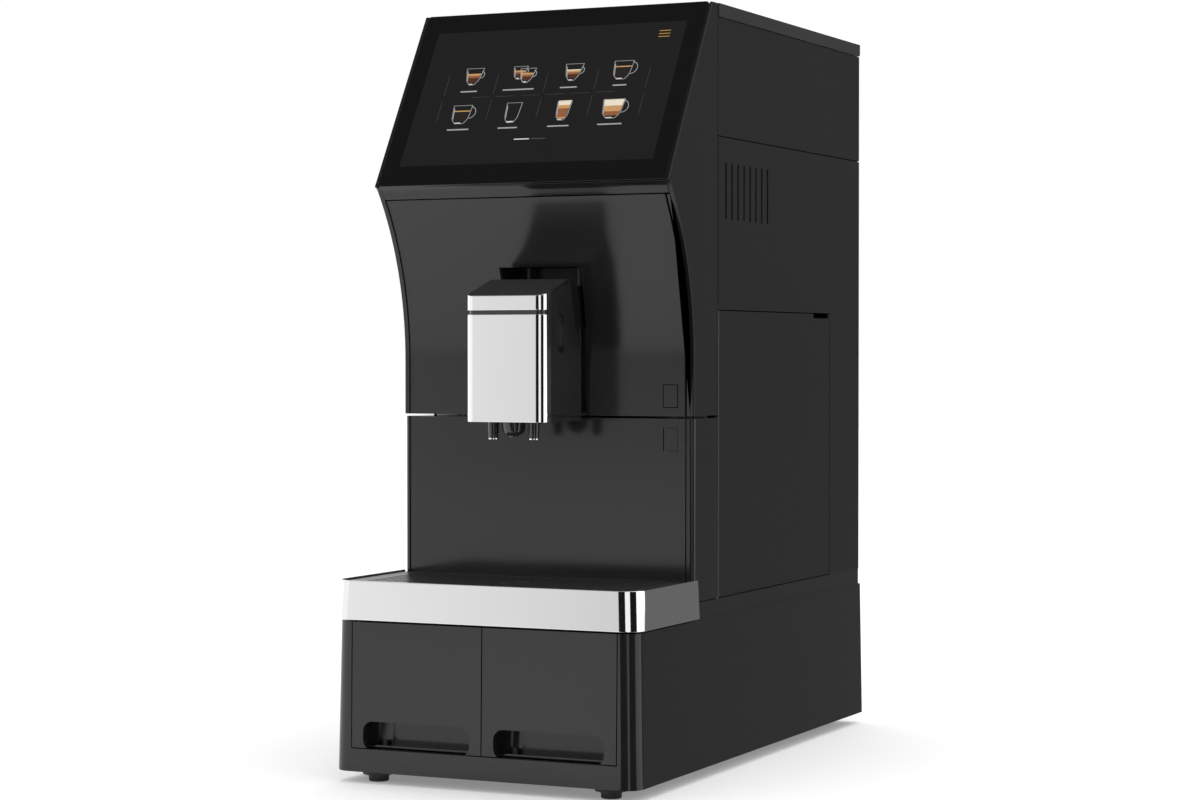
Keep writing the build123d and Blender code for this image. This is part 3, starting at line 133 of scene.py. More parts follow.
def finish_card(name, mesh, level):
    """Links a card that neither the camera nor dull surfaces see."""
    mesh.materials.append(glow_material(name, level))
    piece = bpy.data.objects.new(name, mesh)
    piece.visible_camera = False
    piece.visible_diffuse = False
    piece.visible_shadow = False
    bpy.context.scene.collection.objects.link(piece)
    return piece


print("cards are", CARD_HEIGHT, "m high")

# %% Floor
FLOOR_HALF = 12.0
FLOOR_PAINT = 0.86
FLOOR_GLOW = 0.22
floor_mesh = bpy.data.meshes.new("studio_floor")
floor_corners = [(x * FLOOR_HALF, y * FLOOR_HALF, 0) for x, y in ((-1, -1), (1, -1), (1, 1), (-1, 1))]
floor_mesh.from_pydata(floor_corners, [], [(0, 1, 2, 3)])
floor_paint = bpy.data.materials.new("studio_floor")
floor_paint.use_nodes = True
floor_shader = floor_paint.node_tree.nodes["Principled BSDF"]
floor_shader.inputs["Base Color"].default_value = (FLOOR_PAINT, FLOOR_PAINT, FLOOR_PAINT, 1)
floor_shader.inputs["Roughness"].default_value = 0.9
floor_shader.inputs["Specular IOR Level"].default_value = 0.0
floor_shader.inputs["Emission Color"].default_value = (1, 1, 1, 1)
floor_shader.inputs["Emission Strength"].default_value = FLOOR_GLOW
floor_mesh.materials.append(floor_paint)
studio_floor = bpy.data.objects.new("studio_floor", floor_mesh)
bpy.context.scene.collection.objects.link(studio_floor)
print("floor", 2 * FLOOR_HALF, "m wide")

# %% Tent and upright cards
room = bpy.data.worlds.new("pale_tent")
room.use_nodes = True
room.node_tree.nodes["Background"].inputs["Color"].default_value = (1.0, 1.0, 1.0, 1)
room.node_tree.nodes["Background"].inputs["Strength"].default_value = 1.0
bpy.context.scene.world = room

DARK = 0.01
CARDS = (
    ("pale_card_front", -32, 7.5, 8.5, 0.82),
    ("bright_card_left", -100, 6.5, 8.0, 1.35),
    ("bright_card_right", 106, 6.0, 7.4, 1.3),
    ("dark_card_front", 0, 5.4, 3.2, DARK),
    ("dark_card_right", 57, 5.4, 3.2, DARK),
    ("grey_card_back_right", 148, 6.4, 9.5, 0.13),
)
cards = {name: card(name, *where) for name, *where in CARDS}
FADE_START, FADE_END = (-4.3, 1.02), (-2.5, 0.61)
fade_across(cards["pale_card_front"], FADE_START, FADE_END)
print("upright cards", len(cards))


# %% Cards overhead and on the floor
def level_card(name, corners, z, level):
    """A level card from its (x, y) corners, overhead or along the floor."""
    mesh = bpy.data.meshes.new(name)
    mesh.from_pydata([(x, y, z) for x, y in corners], [], [tuple(range(len(corners)))])
    return finish_card(name, mesh, level)


def floor_wedge(name, apex, compass, reach, level):
    """A wedge on the floor between two compass directions from a corner of the machine."""
    ends = [(apex[0] + reach * sin(radians(c)), apex[1] - reach * cos(radians(c))) for c in compass]
    return level_card(name, [apex, *ends], WEDGE_LIFT, level)


WEDGE_LIFT = 0.8 * MM
CORNER_RADIUS = 18.0 * MM
OVERHEAD = [(-5.0, -7.0), (-5.0, -0.9), (3.0, -0.9), (3.0, -7.0)]
plinth_low, plinth_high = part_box("plinth_housing")
plinth_corner = (plinth_high.x - CORNER_RADIUS, plinth_low.y + CORNER_RADIUS)
level_card("dark_card_over_screen", OVERHEAD, 4.5, 0.10)
floor_wedge("dark_floor_front", plinth_corner, (-19, 27), 5.5, DARK)
floor_wedge("dark_floor_right", plinth_corner, (38, 80), 5.5, DARK)
floor_wedge("grey_floor_back_right", plinth_corner, (128, 178), 14.0, 0.14)
print("wedges start at", tuple(round(v, 3) for v in plinth_corner))

# %% Lamp
LAMP_PLACE = Vector((0.3, 0.9, 3.4))
LAMP_AIM = Vector((0, 0, 0.4))
light = bpy.data.lights.new("top_softbox", "AREA")
light.energy = 30.0
light.size = 2.6
lamp = bpy.data.objects.new("top_softbox", light)
lamp.location = LAMP_PLACE
lamp.rotation_euler = (LAMP_PLACE - LAMP_AIM).to_track_quat("Z", "Y").to_euler()
bpy.context.scene.collection.objects.link(lamp)
print("lamp", light.energy, "W")

# %% [markdown]
# ## Shared surface effects
# Moulded plastic is never quite even: a fine grain breaks up its shine and broad soft patches change how
# glossy it is. A picture of grain would need unwrapped parts and would stretch on curves. One node group makes
# both from the object's own coordinates instead, so every part shares one scale, in metres.


# %% Surface grain group
def noise(tree, coordinates, scale, detail):
    """A noise value at a scale."""
    node = tree.nodes.new("ShaderNodeTexNoise")
    node.inputs["Scale"].default_value = scale
    node.inputs["Detail"].default_value = detail
    tree.links.new(coordinates, node.inputs["Vector"])
    return node.outputs["Fac"]


def remap(tree, value, low, high):
    """A value between two ends, which are numbers or sockets."""
    node = tree.nodes.new("ShaderNodeMapRange")
    tree.links.new(value, node.inputs["Value"])
    for name, end in (("To Min", low), ("To Max", high)):
        if isinstance(end, (int, float)):
            node.inputs[name].default_value = end
        else:
            tree.links.new(end, node.inputs[name])
    return node.outputs["Result"]


def make_grain_group():
    """Fine grain height and slow patches of gloss and colour."""
    group = bpy.data.node_groups.new("surface_grain", "ShaderNodeTree")
    for name, kind, value in (
        ("Grain Scale", "NodeSocketFloat", 1800.0),
        ("Patch Scale", "NodeSocketFloat", 9.0),
        ("Rough Low", "NodeSocketFloat", 0.3),
        ("Rough High", "NodeSocketFloat", 0.4),
        ("Colour Low", "NodeSocketColor", (0.02, 0.02, 0.02, 1)),
        ("Colour High", "NodeSocketColor", (0.03, 0.03, 0.03, 1)),
    ):
        socket = group.interface.new_socket(name, in_out="INPUT", socket_type=kind)
        socket.default_value = value
    outputs = (("Colour", "NodeSocketColor"), ("Roughness", "NodeSocketFloat"), ("Height", "NodeSocketFloat"))
    for name, kind in outputs:
        group.interface.new_socket(name, in_out="OUTPUT", socket_type=kind)
    entry = group.nodes.new("NodeGroupInput")
    leave = group.nodes.new("NodeGroupOutput")
    place = group.nodes.new("ShaderNodeTexCoord").outputs["Object"]
    fine = noise(group, place, 1.0, 3.0)
    group.links.new(entry.outputs["Grain Scale"], fine.node.inputs["Scale"])
    patch = noise(group, place, 1.0, 4.0)
    group.links.new(entry.outputs["Patch Scale"], patch.node.inputs["Scale"])
    rough = remap(group, patch, entry.outputs["Rough Low"], entry.outputs["Rough High"])
    mix = group.nodes.new("ShaderNodeMix")
    mix.data_type = "RGBA"
    group.links.new(patch, mix.inputs["Factor"])
    group.links.new(entry.outputs["Colour Low"], mix.inputs["A"])
    group.links.new(entry.outputs["Colour High"], mix.inputs["B"])
    group.links.new(mix.outputs["Result"], leave.inputs["Colour"])
    group.links.new(rough, leave.inputs["Roughness"])
    group.links.new(fine, leave.inputs["Height"])
    return group


grain_group = make_grain_group()
print("group", grain_group.name, len(grain_group.nodes), "nodes")


# %% [markdown]
# ## Finishes
# The machine has few finishes: satin black mouldings, painted sheet, gloss black around the spouts, chrome,
# dark glass and grey metal inside. Each is one Principled shader fed by the grain group with its own values.
# Numbers that hold all over a surface, such as how metallic chrome is, sit directly on the shader. The blacks
# are very dark, because most of what the eye sees on them is the tent's reflection.


# %% Finish maker
def finish(name, low, high, rough, grain=(1800.0, 0.02), patch=9.0, metallic=0.0, coat=0.0, ior=1.5):
    """A finish from two shades, two roughness ends and a grain of (scale, depth in millimetres)."""
    material = bpy.data.materials.new(name)
    material.use_nodes = True
    tree = material.node_tree
    shader = tree.nodes["Principled BSDF"]
    surface = tree.nodes.new("ShaderNodeGroup")
    surface.node_tree = grain_group
    surface.inputs["Grain Scale"].default_value = grain[0]
    surface.inputs["Patch Scale"].default_value = patch
    surface.inputs["Rough Low"].default_value = rough[0]
    surface.inputs["Rough High"].default_value = rough[1]
    surface.inputs["Colour Low"].default_value = (*low, 1)
    surface.inputs["Colour High"].default_value = (*high, 1)
    tree.links.new(surface.outputs["Colour"], shader.inputs["Base Color"])
    tree.links.new(surface.outputs["Roughness"], shader.inputs["Roughness"])
    bump = tree.nodes.new("ShaderNodeBump")
    bump.inputs["Strength"].default_value = 1.0
    bump.inputs["Distance"].default_value = grain[1] * MM
    tree.links.new(surface.outputs["Height"], bump.inputs["Height"])
    tree.links.new(bump.outputs["Normal"], shader.inputs["Normal"])
    shader.inputs["Metallic"].default_value = metallic
    shader.inputs["IOR"].default_value = ior
    shader.inputs["Coat Weight"].default_value = coat
    shader.inputs["Coat Roughness"].default_value = 0.03
    return material


def grey(level, warm=0.0):
    """A grey, made warmer by a share."""
    return (level * (1 + warm), level, level * (1 - warm))


print("a warm grey", grey(0.4, 0.02))

# %% Black finishes
finishes = {}


def add_finish(name, *values, **extras):
    """Makes a finish and keeps it under its name."""
    finishes[name] = finish(name, *values, **extras)


add_finish("satin_black_plastic", grey(0.0085), grey(0.0105), (0.12, 0.16), (2200.0, 0.004))
add_finish("painted_steel", grey(0.0055), grey(0.0075), (0.28, 0.36), (900.0, 0.012))
add_finish("inner_black_plastic", grey(0.010), grey(0.015), (0.45, 0.6), (1500.0, 0.03))
add_finish("gloss_black_plastic", grey(0.014), grey(0.018), (0.10, 0.16), (1200.0, 0.002), coat=0.4)
add_finish("lid_satin", grey(0.024), grey(0.032), (0.16, 0.22), (2200.0, 0.004))
print("finishes so far", len(finishes))

# %% Chrome, grille and glass
add_finish("polished_chrome", grey(0.86), grey(0.90), (0.04, 0.07), (400.0, 0.0005), metallic=1.0)
add_finish("black_grille_steel", grey(0.026), grey(0.034), (0.26, 0.36), (1500.0, 0.01))
add_finish("screen_glass", grey(0.0035), grey(0.0045), (0.03, 0.05), (60.0, 0.0005), ior=1.45)
add_finish("display", grey(0.0105), grey(0.0125), (0.04, 0.06), (60.0, 0.0005), ior=1.45)
print("finishes so far", len(finishes))

# %% Finishes of the small and inner parts
add_finish("rubber", grey(0.012), grey(0.02), (0.6, 0.8), (700.0, 0.05))
add_finish("red_float_plastic", (0.42, 0.02, 0.015), (0.5, 0.03, 0.02), (0.25, 0.35))
add_finish("zinc_steel", grey(0.42, 0.02), grey(0.56, 0.01), (0.3, 0.5), (160.0, 0.02), 60.0, 1.0)
add_finish("stainless_steel", grey(0.55), grey(0.62), (0.18, 0.3), (500.0, 0.01), 20.0, 1.0)
add_finish("cast_aluminium", grey(0.5), grey(0.6), (0.4, 0.55), (700.0, 0.08), 30.0, 1.0)
add_finish("brass", (0.58, 0.40, 0.16), (0.68, 0.50, 0.22), (0.2, 0.35), (500.0, 0.01), 30.0, 1.0)
add_finish("clear_plastic", grey(0.55, 0.05), grey(0.65, 0.05), (0.05, 0.12), (600.0, 0.004), coat=0.3)
add_finish("circuit_board", (0.015, 0.09, 0.04), (0.02, 0.13, 0.05), (0.3, 0.45), (900.0, 0.03), 70.0)
CLEARNESS = 0.9
clear_shader = finishes["clear_plastic"].node_tree.nodes["Principled BSDF"]
clear_shader.inputs["Transmission Weight"].default_value = CLEARNESS
print("finishes", len(finishes))

# %% [markdown]
# ## Real edges
# A moulded or folded part has no knife edges: a radius of half a millimetre catches a thin line of light. The
# exact parts come with knife edges. A bevel shader would only pretend to round them, so each part is copied,
# its loose triangles are joined, and its sharp edges get a real radius. Large faces then decide the shading, so
# a flat panel stays flat in a reflection.

# %% Edge rounding
node_slots = {part["node"]: part["material_slot"] for part in frame["record"]["subparts"]}
node_bodies = {node: body for body, nodes in frame["record"]["behaviour"]["bodies"].items() for node in nodes}
SHARP = radians(32)
SMOOTH = radians(40)
FLAT = radians(0.3)
MERGE = 2e-6


def plain_piece(name, mesh, body, slot, *replaced):
    """Links a finished mesh, lets it ride on its body and hides the exact parts that it stands for."""
    piece = bpy.data.objects.new(name, mesh)
    bpy.context.scene.collection.objects.link(piece)
    if not mesh.materials:
        mesh.materials.append(finishes[slot])
    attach(piece, body)
    if replaced:
        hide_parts(*replaced)
    return piece


def evaluated_copy(piece, name):
    """The piece's mesh with its modifiers applied; the piece itself is removed."""
    bpy.context.view_layer.update()
    result = bpy.data.meshes.new_from_object(piece.evaluated_get(bpy.context.evaluated_depsgraph_get()))
    result.name = name
    bpy.data.objects.remove(piece)
    return result


def joined_copy(node):
    """A CAD part's mesh with its loose triangles joined and flat areas made whole."""
    work = bmesh.new()
    work.from_mesh(frame["nodes"][node].data)
    bmesh.ops.remove_doubles(work, verts=work.verts, dist=MERGE)
    bmesh.ops.dissolve_limit(work, angle_limit=FLAT, verts=work.verts, edges=work.edges)
    mesh = bpy.data.meshes.new(node + "_rounded")
    work.to_mesh(mesh)
    work.free()
    return mesh


def even_shading(mesh, name):
    """Lets large flat faces decide the shading, so that they stay flat right up to their rounded edges."""
    mesh.polygons.foreach_set("use_smooth", [True] * len(mesh.polygons))
    mesh.set_sharp_from_angle(angle=SMOOTH)
    draft = bpy.data.objects.new(name + "_shading", mesh)
    bpy.context.scene.collection.objects.link(draft)
    weights = draft.modifiers.new("face_weights", "WEIGHTED_NORMAL")
    weights.weight = 100
    weights.keep_sharp = True
    return evaluated_copy(draft, name)


def rounded(node, radius):
    """A copy of a CAD part with its sharp edges rounded to a radius in millimetres."""
    draft = bpy.data.objects.new(node + "_draft", joined_copy(node))
    bpy.context.scene.collection.objects.link(draft)
    edge = draft.modifiers.new("edge_radius", "BEVEL")
    edge.width = radius * MM
    edge.segments = 2
    edge.limit_method = "ANGLE"
    edge.angle_limit = SHARP
    name = node + "_rounded"
    result = even_shading(evaluated_copy(draft, name + "_edges"), name)
    result.materials.clear()
    return plain_piece(name, result, node_bodies[node], node_slots[node], node)


print("parts to round", len(node_slots))

# %% [markdown]
# The outer parts have radii from a third of a millimetre on thin sheet to over one on the door's side walls.
# A table of radii in millimetres keeps them in one place. Inner parts all get the same small one.

# %% Outer parts with rounded edges
EDGE_RADII = {
    "plinth_housing": 0.6, "deck_plate": 0.5, "left_side_panel": 0.35, "right_side_panel": 0.35,
    "right_upper_panel": 0.35, "back_panel": 0.35, "top_lid": 0.7, "side_door": 0.45,
    "lower_front_panel": 0.6, "door_front_panel": 0.5, "door_side_left": 1.2, "door_side_right": 1.2,
    "screen_frame": 0.4, "door_latch_button": 0.4, "port_flap": 0.4, "left_drawer_front": 0.5,
    "right_drawer_front": 0.5, "tray_band": 0.7, "dispenser_shell": 0.8, "dispenser_cap": 0.8,
    "dispenser_plate": 0.5, "dispenser_band": 0.5, "dispenser_channel": 0.4, "screen_glass": 0.5,
    "tray_basin": 0.4, "drip_grille": 0.4, "tray_float": 0.5, "mains_inlet": 0.4, "power_rocker": 0.6,
    "drawer_case": 0.4, "water_inlet_fitting": 0.5, "drain_fitting": 0.5,
}
for node, radius in EDGE_RADII.items():
    rounded(node, radius)
bpy.data.objects["top_lid_rounded"].data.materials[0] = finishes["lid_satin"]
print("rounded", len(EDGE_RADII), "parts")

# %% Inner parts with a small radius, and a finish on every exact part
INNER_RADIUS = 0.3
MADE_ANEW = {"coffee_spouts", "water_nozzle", "feet", "foot_pads", "panel_screws"}
for node, piece in frame["nodes"].items():
    piece.data.materials.clear()
    piece.data.materials.append(finishes[node_slots[node]])
    if node not in EDGE_RADII and node not in MADE_ANEW:
        rounded(node, INNER_RADIUS)
print("inner parts", len(frame["nodes"]) - len(EDGE_RADII) - len(MADE_ANEW))

# %% [markdown]
# ## Screen
# The menu lies just under the glass: eight drinks in two rows, each over a plain light bar. A painted picture
# would need an image, so each mark is a hair-thin plate on the glass face instead. It shines exactly as the
# glass does, and its own colour glows. Places on the glass are given across and up its slope, in millimetres.

# %% Screen plane
GLASS_TILT = radians(31)
GLASS_THICKNESS = 3.0 * MM
glass_low, glass_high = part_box("screen_glass")
glass_foot = Vector((0, glass_low.y, glass_low.z + GLASS_THICKNESS * sin(GLASS_TILT)))
up_glass = Vector((0, sin(GLASS_TILT), cos(GLASS_TILT)))
off_glass = Vector((0, -cos(GLASS_TILT), sin(GLASS_TILT)))
print("glass foot", tuple(round(v, 4) for v in glass_foot))


def on_glass(x, s, lift):
    """A place on the glass: x across and s up its slope from its foot, both in millimetres."""
    return glass_foot + Vector((x * MM, 0, 0)) + up_glass * (s * MM) + off_glass * (lift * MM)


LAYER = 0.02
SUNK = -0.05


def glass_marks(name, shapes, material):
    """Hair-thin plates on the glass from (outline, layer) pairs; a higher layer covers a lower one."""
    work = bmesh.new()
    for outline, layer in shapes:
        top = [work.verts.new(on_glass(x, s, LAYER + LAYER * layer)) for x, s in outline]
        foot = [work.verts.new(on_glass(x, s, SUNK)) for x, s in outline]
        work.faces.new(top)
        work.faces.new(list(reversed(foot)))
        for i in range(len(top)):
            j = (i + 1) % len(top)
            work.faces.new((top[j], top[i], foot[i], foot[j]))
    bmesh.ops.recalc_face_normals(work, faces=work.faces)
    mesh = bpy.data.meshes.new(name)
    work.to_mesh(mesh)
    work.free()
    mesh.materials.append(material)
    return plain_piece(name, mesh, "screen_door", "display")


UNLIT = 0.004


def lit(name, low, high, patch=260.0):
    """A glowing part of the menu under glass, with slow changes of shade."""
    material = finish(name, low, high, (0.03, 0.05), (60.0, 0.0005), patch)
    tree = material.node_tree
    shader = tree.nodes["Principled BSDF"]
    surface = next(node for node in tree.nodes if node.type == "GROUP")
    tree.links.remove(shader.inputs["Base Color"].links[0])
    shader.inputs["Base Color"].default_value = (UNLIT, UNLIT, UNLIT, 1)
    tree.links.new(surface.outputs["Colour"], shader.inputs["Emission Color"])
    shader.inputs["Emission Strength"].default_value = 1.0
    return material


# %% [markdown]
# Every mark is an outline: a bar with square or round ends, or a line of even width along some points.

# %% Outline helpers
def bar_outline(x, s, width, height, corner=0.0):
    """A level bar about its middle, with round ends if it has a corner radius."""
    if not corner:
        return [(x - width / 2, s - height / 2), (x + width / 2, s - height / 2),
                (x + width / 2, s + height / 2), (x - width / 2, s + height / 2)]
    points = []
    for cx, cs, start in ((1, -1, -90), (1, 1, 0), (-1, 1, 90), (-1, -1, 180)):
        for step in range(5):
            a = radians(start + step * 22.5)
            points.append((x + cx * (width / 2 - corner) + corner * cos(a),
                           s + cs * (height / 2 - corner) + corner * sin(a)))
    return points


def stroke(points, width):
    """A line of even width along open points."""
    left, right = [], []
    for i, (x, s) in enumerate(points):
        ax, a_s = points[max(i - 1, 0)]
        bx, b_s = points[min(i + 1, len(points) - 1)]
        along = Vector((bx - ax, b_s - a_s)).normalized() * width / 2
        left.append((x - along.y, s + along.x))
        right.append((x + along.y, s - along.x))
    return right + list(reversed(left))


def arc(x, s, radius, start, end, stretch=1.0, steps=14):
    """Points along part of a circle, stretched along the slope."""
    return [(x + radius * cos(radians(start + (end - start) * i / steps)),
             s + stretch * radius * sin(radians(start + (end - start) * i / steps))) for i in range(steps + 1)]


print("a bar has", len(bar_outline(0, 0, 10, 2)), "corners, a round one", len(bar_outline(0, 0, 10, 2, 1)))

# %% [markdown]
# Each drink is drawn as a glass cup from the side: its outline, a glint, and bands of coffee, crema and foam
# between two shares of its height. Ready-made symbols would not belong to this machine, so one function draws
# every cup from its sizes and its drink.

# %% One cup
SHADES = ("glass_line", "glass_glint", "long_coffee", "coffee_dark", "coffee_mid", "crema", "foam")
drawn = {name: [] for name in SHADES}
ICON_SCALE = 1.27
GLASS_LINE, RIM_LINE, GLINT_LINE, HANDLE_LINE = 0.6, 0.4, 0.4, 0.7
WALL = 0.9
HANDLE_SHARE = 0.6


def cup(x, s, top, foot, height, drink, handle=0.0, layer=0):
    """A glass cup about its middle. The drink is a list of (finish, from, to) as shares of the height."""
    top, foot, height, handle = (ICON_SCALE * size for size in (top, foot, height, handle))
    low, high = s - height / 2, s + height / 2

    def half(share):
        """Half the cup's width at a share of its height: a round foot, then walls that open to the rim."""
        wall = foot + (top - foot) * share ** 0.7
        return wall / 2 * min(1.0, (0.35 + 2.6 * share) ** 0.5)

    def band(a, b, inset):
        """The drink between two shares of the height."""
        steps = [a + (b - a) * i / 4 for i in range(5)]
        right = [(x + half(t) - inset, low + t * height) for t in steps]
        return right + [(2 * x - px, ps) for px, ps in reversed(right)]

    sides = [(i / 12) ** 1.5 for i in range(13)]
    left_edge = [(x - half(t), low + t * height) for t in reversed(sides)]
    right_edge = [(x + half(t), low + t * height) for t in sides]
    drawn["glass_line"].append((stroke(left_edge + right_edge, GLASS_LINE), layer + 3))
    drawn["glass_line"].append((bar_outline(x, high, top, RIM_LINE), layer + 3))
    drawn["glass_glint"].append((bar_outline(x - 0.1 * foot, low + WALL, foot * 0.42, 1.0, 0.4), layer + 3))
    shine = [(x - half(t) + 1.1, low + t * height) for t in (0.25, 0.5, 0.85)]
    drawn["glass_glint"].append((stroke(shine, GLINT_LINE), layer + 4))
    for shade, a, b in drink:
        drawn[shade].append((band(a, b, WALL), layer + 1))
    if handle:
        middle = low + HANDLE_SHARE * height
        ring = arc(x + half(HANDLE_SHARE) - 0.4, middle, handle, -86, 86, 1.1)
        drawn["glass_line"].append((stroke(ring, HANDLE_LINE), layer + 2))


print("cup ready")

# %% Nine cups for eight drinks
ESPRESSO = [("coffee_dark", 0.12, 0.42), ("coffee_mid", 0.42, 0.56), ("crema", 0.56, 0.68)]
RISTRETTO = [("coffee_dark", 0.14, 0.38), ("coffee_mid", 0.38, 0.50), ("crema", 0.50, 0.60),
             ("foam", 0.60, 0.66)]
LONG_COFFEE = [("long_coffee", 0.14, 0.66), ("crema", 0.66, 0.72)]
HOT_WATER = [("foam", 0.03, 0.07)]
LATTE = [("crema", 0.08, 0.16), ("coffee_mid", 0.16, 0.62), ("crema", 0.62, 0.80), ("foam", 0.80, 1.04)]
CAPPUCCINO = [("coffee_mid", 0.14, 0.36), ("crema", 0.36, 0.66), ("foam", 0.66, 0.98)]
COLUMNS = (-88.5, -29.5, 29.5, 88.5)
ROW_HIGH, ROW_LOW = 139.5, 90.0

cup(COLUMNS[0], ROW_HIGH, 16.5, 7.5, 17.0, ESPRESSO, 3.2)
cup(COLUMNS[1] - 4.5, ROW_HIGH + 2.5, 13.0, 6.0, 13.0, ESPRESSO, 2.6)
cup(COLUMNS[1] + 5.0, ROW_HIGH - 1.5, 14.5, 6.5, 14.5, ESPRESSO, 2.9, 5)
cup(COLUMNS[2], ROW_HIGH, 16.5, 7.5, 17.0, RISTRETTO, 3.2)
cup(COLUMNS[3] - 2.0, ROW_HIGH, 17.5, 12.0, 18.5, LONG_COFFEE, 5.4)
cup(COLUMNS[0] - 2.0, ROW_LOW, 17.5, 13.0, 18.5, LONG_COFFEE, 5.4)
cup(COLUMNS[1], ROW_LOW, 14.0, 10.0, 20.0, HOT_WATER)
cup(COLUMNS[2], ROW_LOW, 13.0, 8.5, 19.0, LATTE)
cup(COLUMNS[3] - 2.0, ROW_LOW, 19.5, 13.0, 19.0, CAPPUCCINO, 5.4)
print("outlines", sum(len(shapes) for shapes in drawn.values()))

# %% Cup colours
lit_finishes = {
    "glass_line": lit("glass_line", grey(0.30), grey(0.50)),
    "glass_glint": lit("glass_glint", grey(0.55), grey(0.85)),
    "long_coffee": lit("long_coffee", (0.012, 0.009, 0.008), (0.020, 0.014, 0.011)),
    "coffee_dark": lit("coffee_dark", (0.035, 0.012, 0.006), (0.10, 0.038, 0.016)),
    "coffee_mid": lit("coffee_mid", (0.20, 0.07, 0.025), (0.34, 0.14, 0.05)),
    "crema": lit("crema", (0.48, 0.24, 0.09), (0.66, 0.38, 0.17)),
    "foam": lit("foam", (0.72, 0.60, 0.46), (0.90, 0.82, 0.70)),
}
for shade, shapes in drawn.items():
    glass_marks("menu_" + shade, shapes, lit_finishes[shade])
print("cup pieces", len(drawn))

# %% [markdown]
# Behind the cups the lit part of the display is a shade paler than the black rim of the glass. Plain bars stand
# for the drink names, faint gold lines part the drinks, and small bars mark the menu and the page.

# %% Lit area and name bars
DISPLAY_HALF = 147.0
DISPLAY_FOOT, DISPLAY_TOP = 25.0, 200.0
display_middle, display_height = (DISPLAY_FOOT + DISPLAY_TOP) / 2, DISPLAY_TOP - DISPLAY_FOOT
window = bar_outline(0, display_middle, 2 * DISPLAY_HALF, display_height, 1.0)
glass_marks("display_window", [(window, -0.5)], finishes["display"])

BAR_DROP = 19.5
BAR_WIDTHS = ((20, 37, 20, 16), (26, 23, 25, 28))
bars = []
for row, widths in zip((ROW_HIGH, ROW_LOW), BAR_WIDTHS):
    for x, width in zip(COLUMNS, widths):
        bars.append((bar_outline(x - 1, row - BAR_DROP, width, 1.7, 0.8), 1))
glass_marks("menu_name_bars", bars, lit("menu_bar_light", grey(0.30), grey(0.42)))
print("name bars", len(bars))

# %% Lines between the drinks
LINE = 0.45
separators = []
for x in (-118, -59, 0, 59, 118):
    separators.append((bar_outline(x, 128, LINE, 26), 0))
    separators.append((bar_outline(x, 95, LINE, 26), 0))
for x in (-73, -44, -14, 15, 44, 73):
    separators.append((bar_outline(x, 112, 22, LINE), 0))
separator_gold = lit("separator_gold", (0.026, 0.021, 0.015), (0.11, 0.088, 0.062), 110.0)
glass_marks("menu_separators", separators, separator_gold)
print("lines", len(separators))

# %% Menu and page marks
menu_mark = [(bar_outline(124.4, s, 13.0, 0.8, 0.35), 1) for s in (180.8, 184.6, 188.4)]
page_now = [(bar_outline(-10, 55.4, 18, 1.3, 0.6), 1)]
page_next = [(bar_outline(9.5, 55.4, 17, 1.0, 0.45), 1)]
glass_marks("menu_mark", menu_mark, lit("menu_gold", (0.50, 0.27, 0.07), (0.62, 0.36, 0.10)))
glass_marks("page_mark_now", page_now, lit("page_now", grey(0.6), grey(0.75)))
glass_marks("page_mark_next", page_next, lit("page_next", grey(0.05), grey(0.08)))
print("marks", len(menu_mark) + len(page_now) + len(page_next))

# %% [markdown]
# ## Turned pieces
# The coffee spouts, the water nozzle and the feet are round. A stack of cylinders would leave seams inside, so
# each is one closed profile turned about its axis. Its places come from the exact part that it stands for.


# %% Turning helper
def turned(work, x, y, profile, segments=40):
    """Adds a closed profile of (radius, height) in millimetres, turned about an upright axis at (x, y)."""
    turns = [2 * pi * i / segments for i in range(segments)]
    rings = []
    for radius, z in profile:
        if radius == 0:
            rings.append([work.verts.new((x, y, z * MM))])
            continue
        reach = radius * MM
        rings.append([work.verts.new((x + reach * cos(a), y + reach * sin(a), z * MM)) for a in turns])
    for low, high in zip(rings, rings[1:]):
        for i in range(segments):
            j = (i + 1) % segments
            if len(low) == 1:
                work.faces.new((low[0], high[j], high[i]))
            elif len(high) == 1:
                work.faces.new((low[i], low[j], high[0]))
            else:
                work.faces.new((low[i], low[j], high[j], high[i]))


def turned_piece(name, places, profile, material, body, slot_name, segments=40, *replaced):
    """One mesh of equal turned shapes at (x, y) places in metres."""
    work = bmesh.new()
    for x, y in places:
        turned(work, x, y, profile, segments)
    bmesh.ops.recalc_face_normals(work, faces=work.faces)
    mesh = bpy.data.meshes.new(name)
    work.to_mesh(mesh)
    work.free()
    mesh = even_shading(mesh, name)
    mesh.materials.clear()
    mesh.materials.append(material)
    return plain_piece(name, mesh, body, slot_name, *replaced)


print("one millimetre is", MM, "m")

# %% [markdown]
# The two spouts are slim glossy tubes that narrow towards a bright ring at the tip, with a bore for the coffee.
# Tube and ring are separate pieces, because they are different materials on the machine as well.

# %% Spouts with bright tips
spout_low, spout_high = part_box("coffee_spouts")
spout_radius = (spout_high.y - spout_low.y) / 2 / MM
spout_y = (spout_high.y + spout_low.y) / 2
spout_x = spout_high.x - spout_radius * MM
spout_places = [(-spout_x, spout_y), (spout_x, spout_y)]
tip, root = spout_low.z / MM, spout_high.z / MM
RING = 1.7
spout_body = [(0, tip + 9), (2.3, tip + 9), (2.3, tip + RING), (spout_radius - 0.5, tip + RING),
              (spout_radius - 0.9, tip + 5), (spout_radius - 0.3, tip + 12), (spout_radius, root), (0, root)]
turned_piece("spout_bodies", spout_places, spout_body, finishes["gloss_black_plastic"], "dispenser",
             "gloss_black_plastic", 40, "coffee_spouts")
ring_radius = spout_radius - 0.9
spout_ring = [(2.2, tip + RING), (2.2, tip + 0.2), (2.4, tip), (ring_radius - 0.3, tip),
              (ring_radius, tip + 0.3), (ring_radius, tip + RING - 0.2), (ring_radius - 0.2, tip + RING),
              (2.2, tip + RING)]
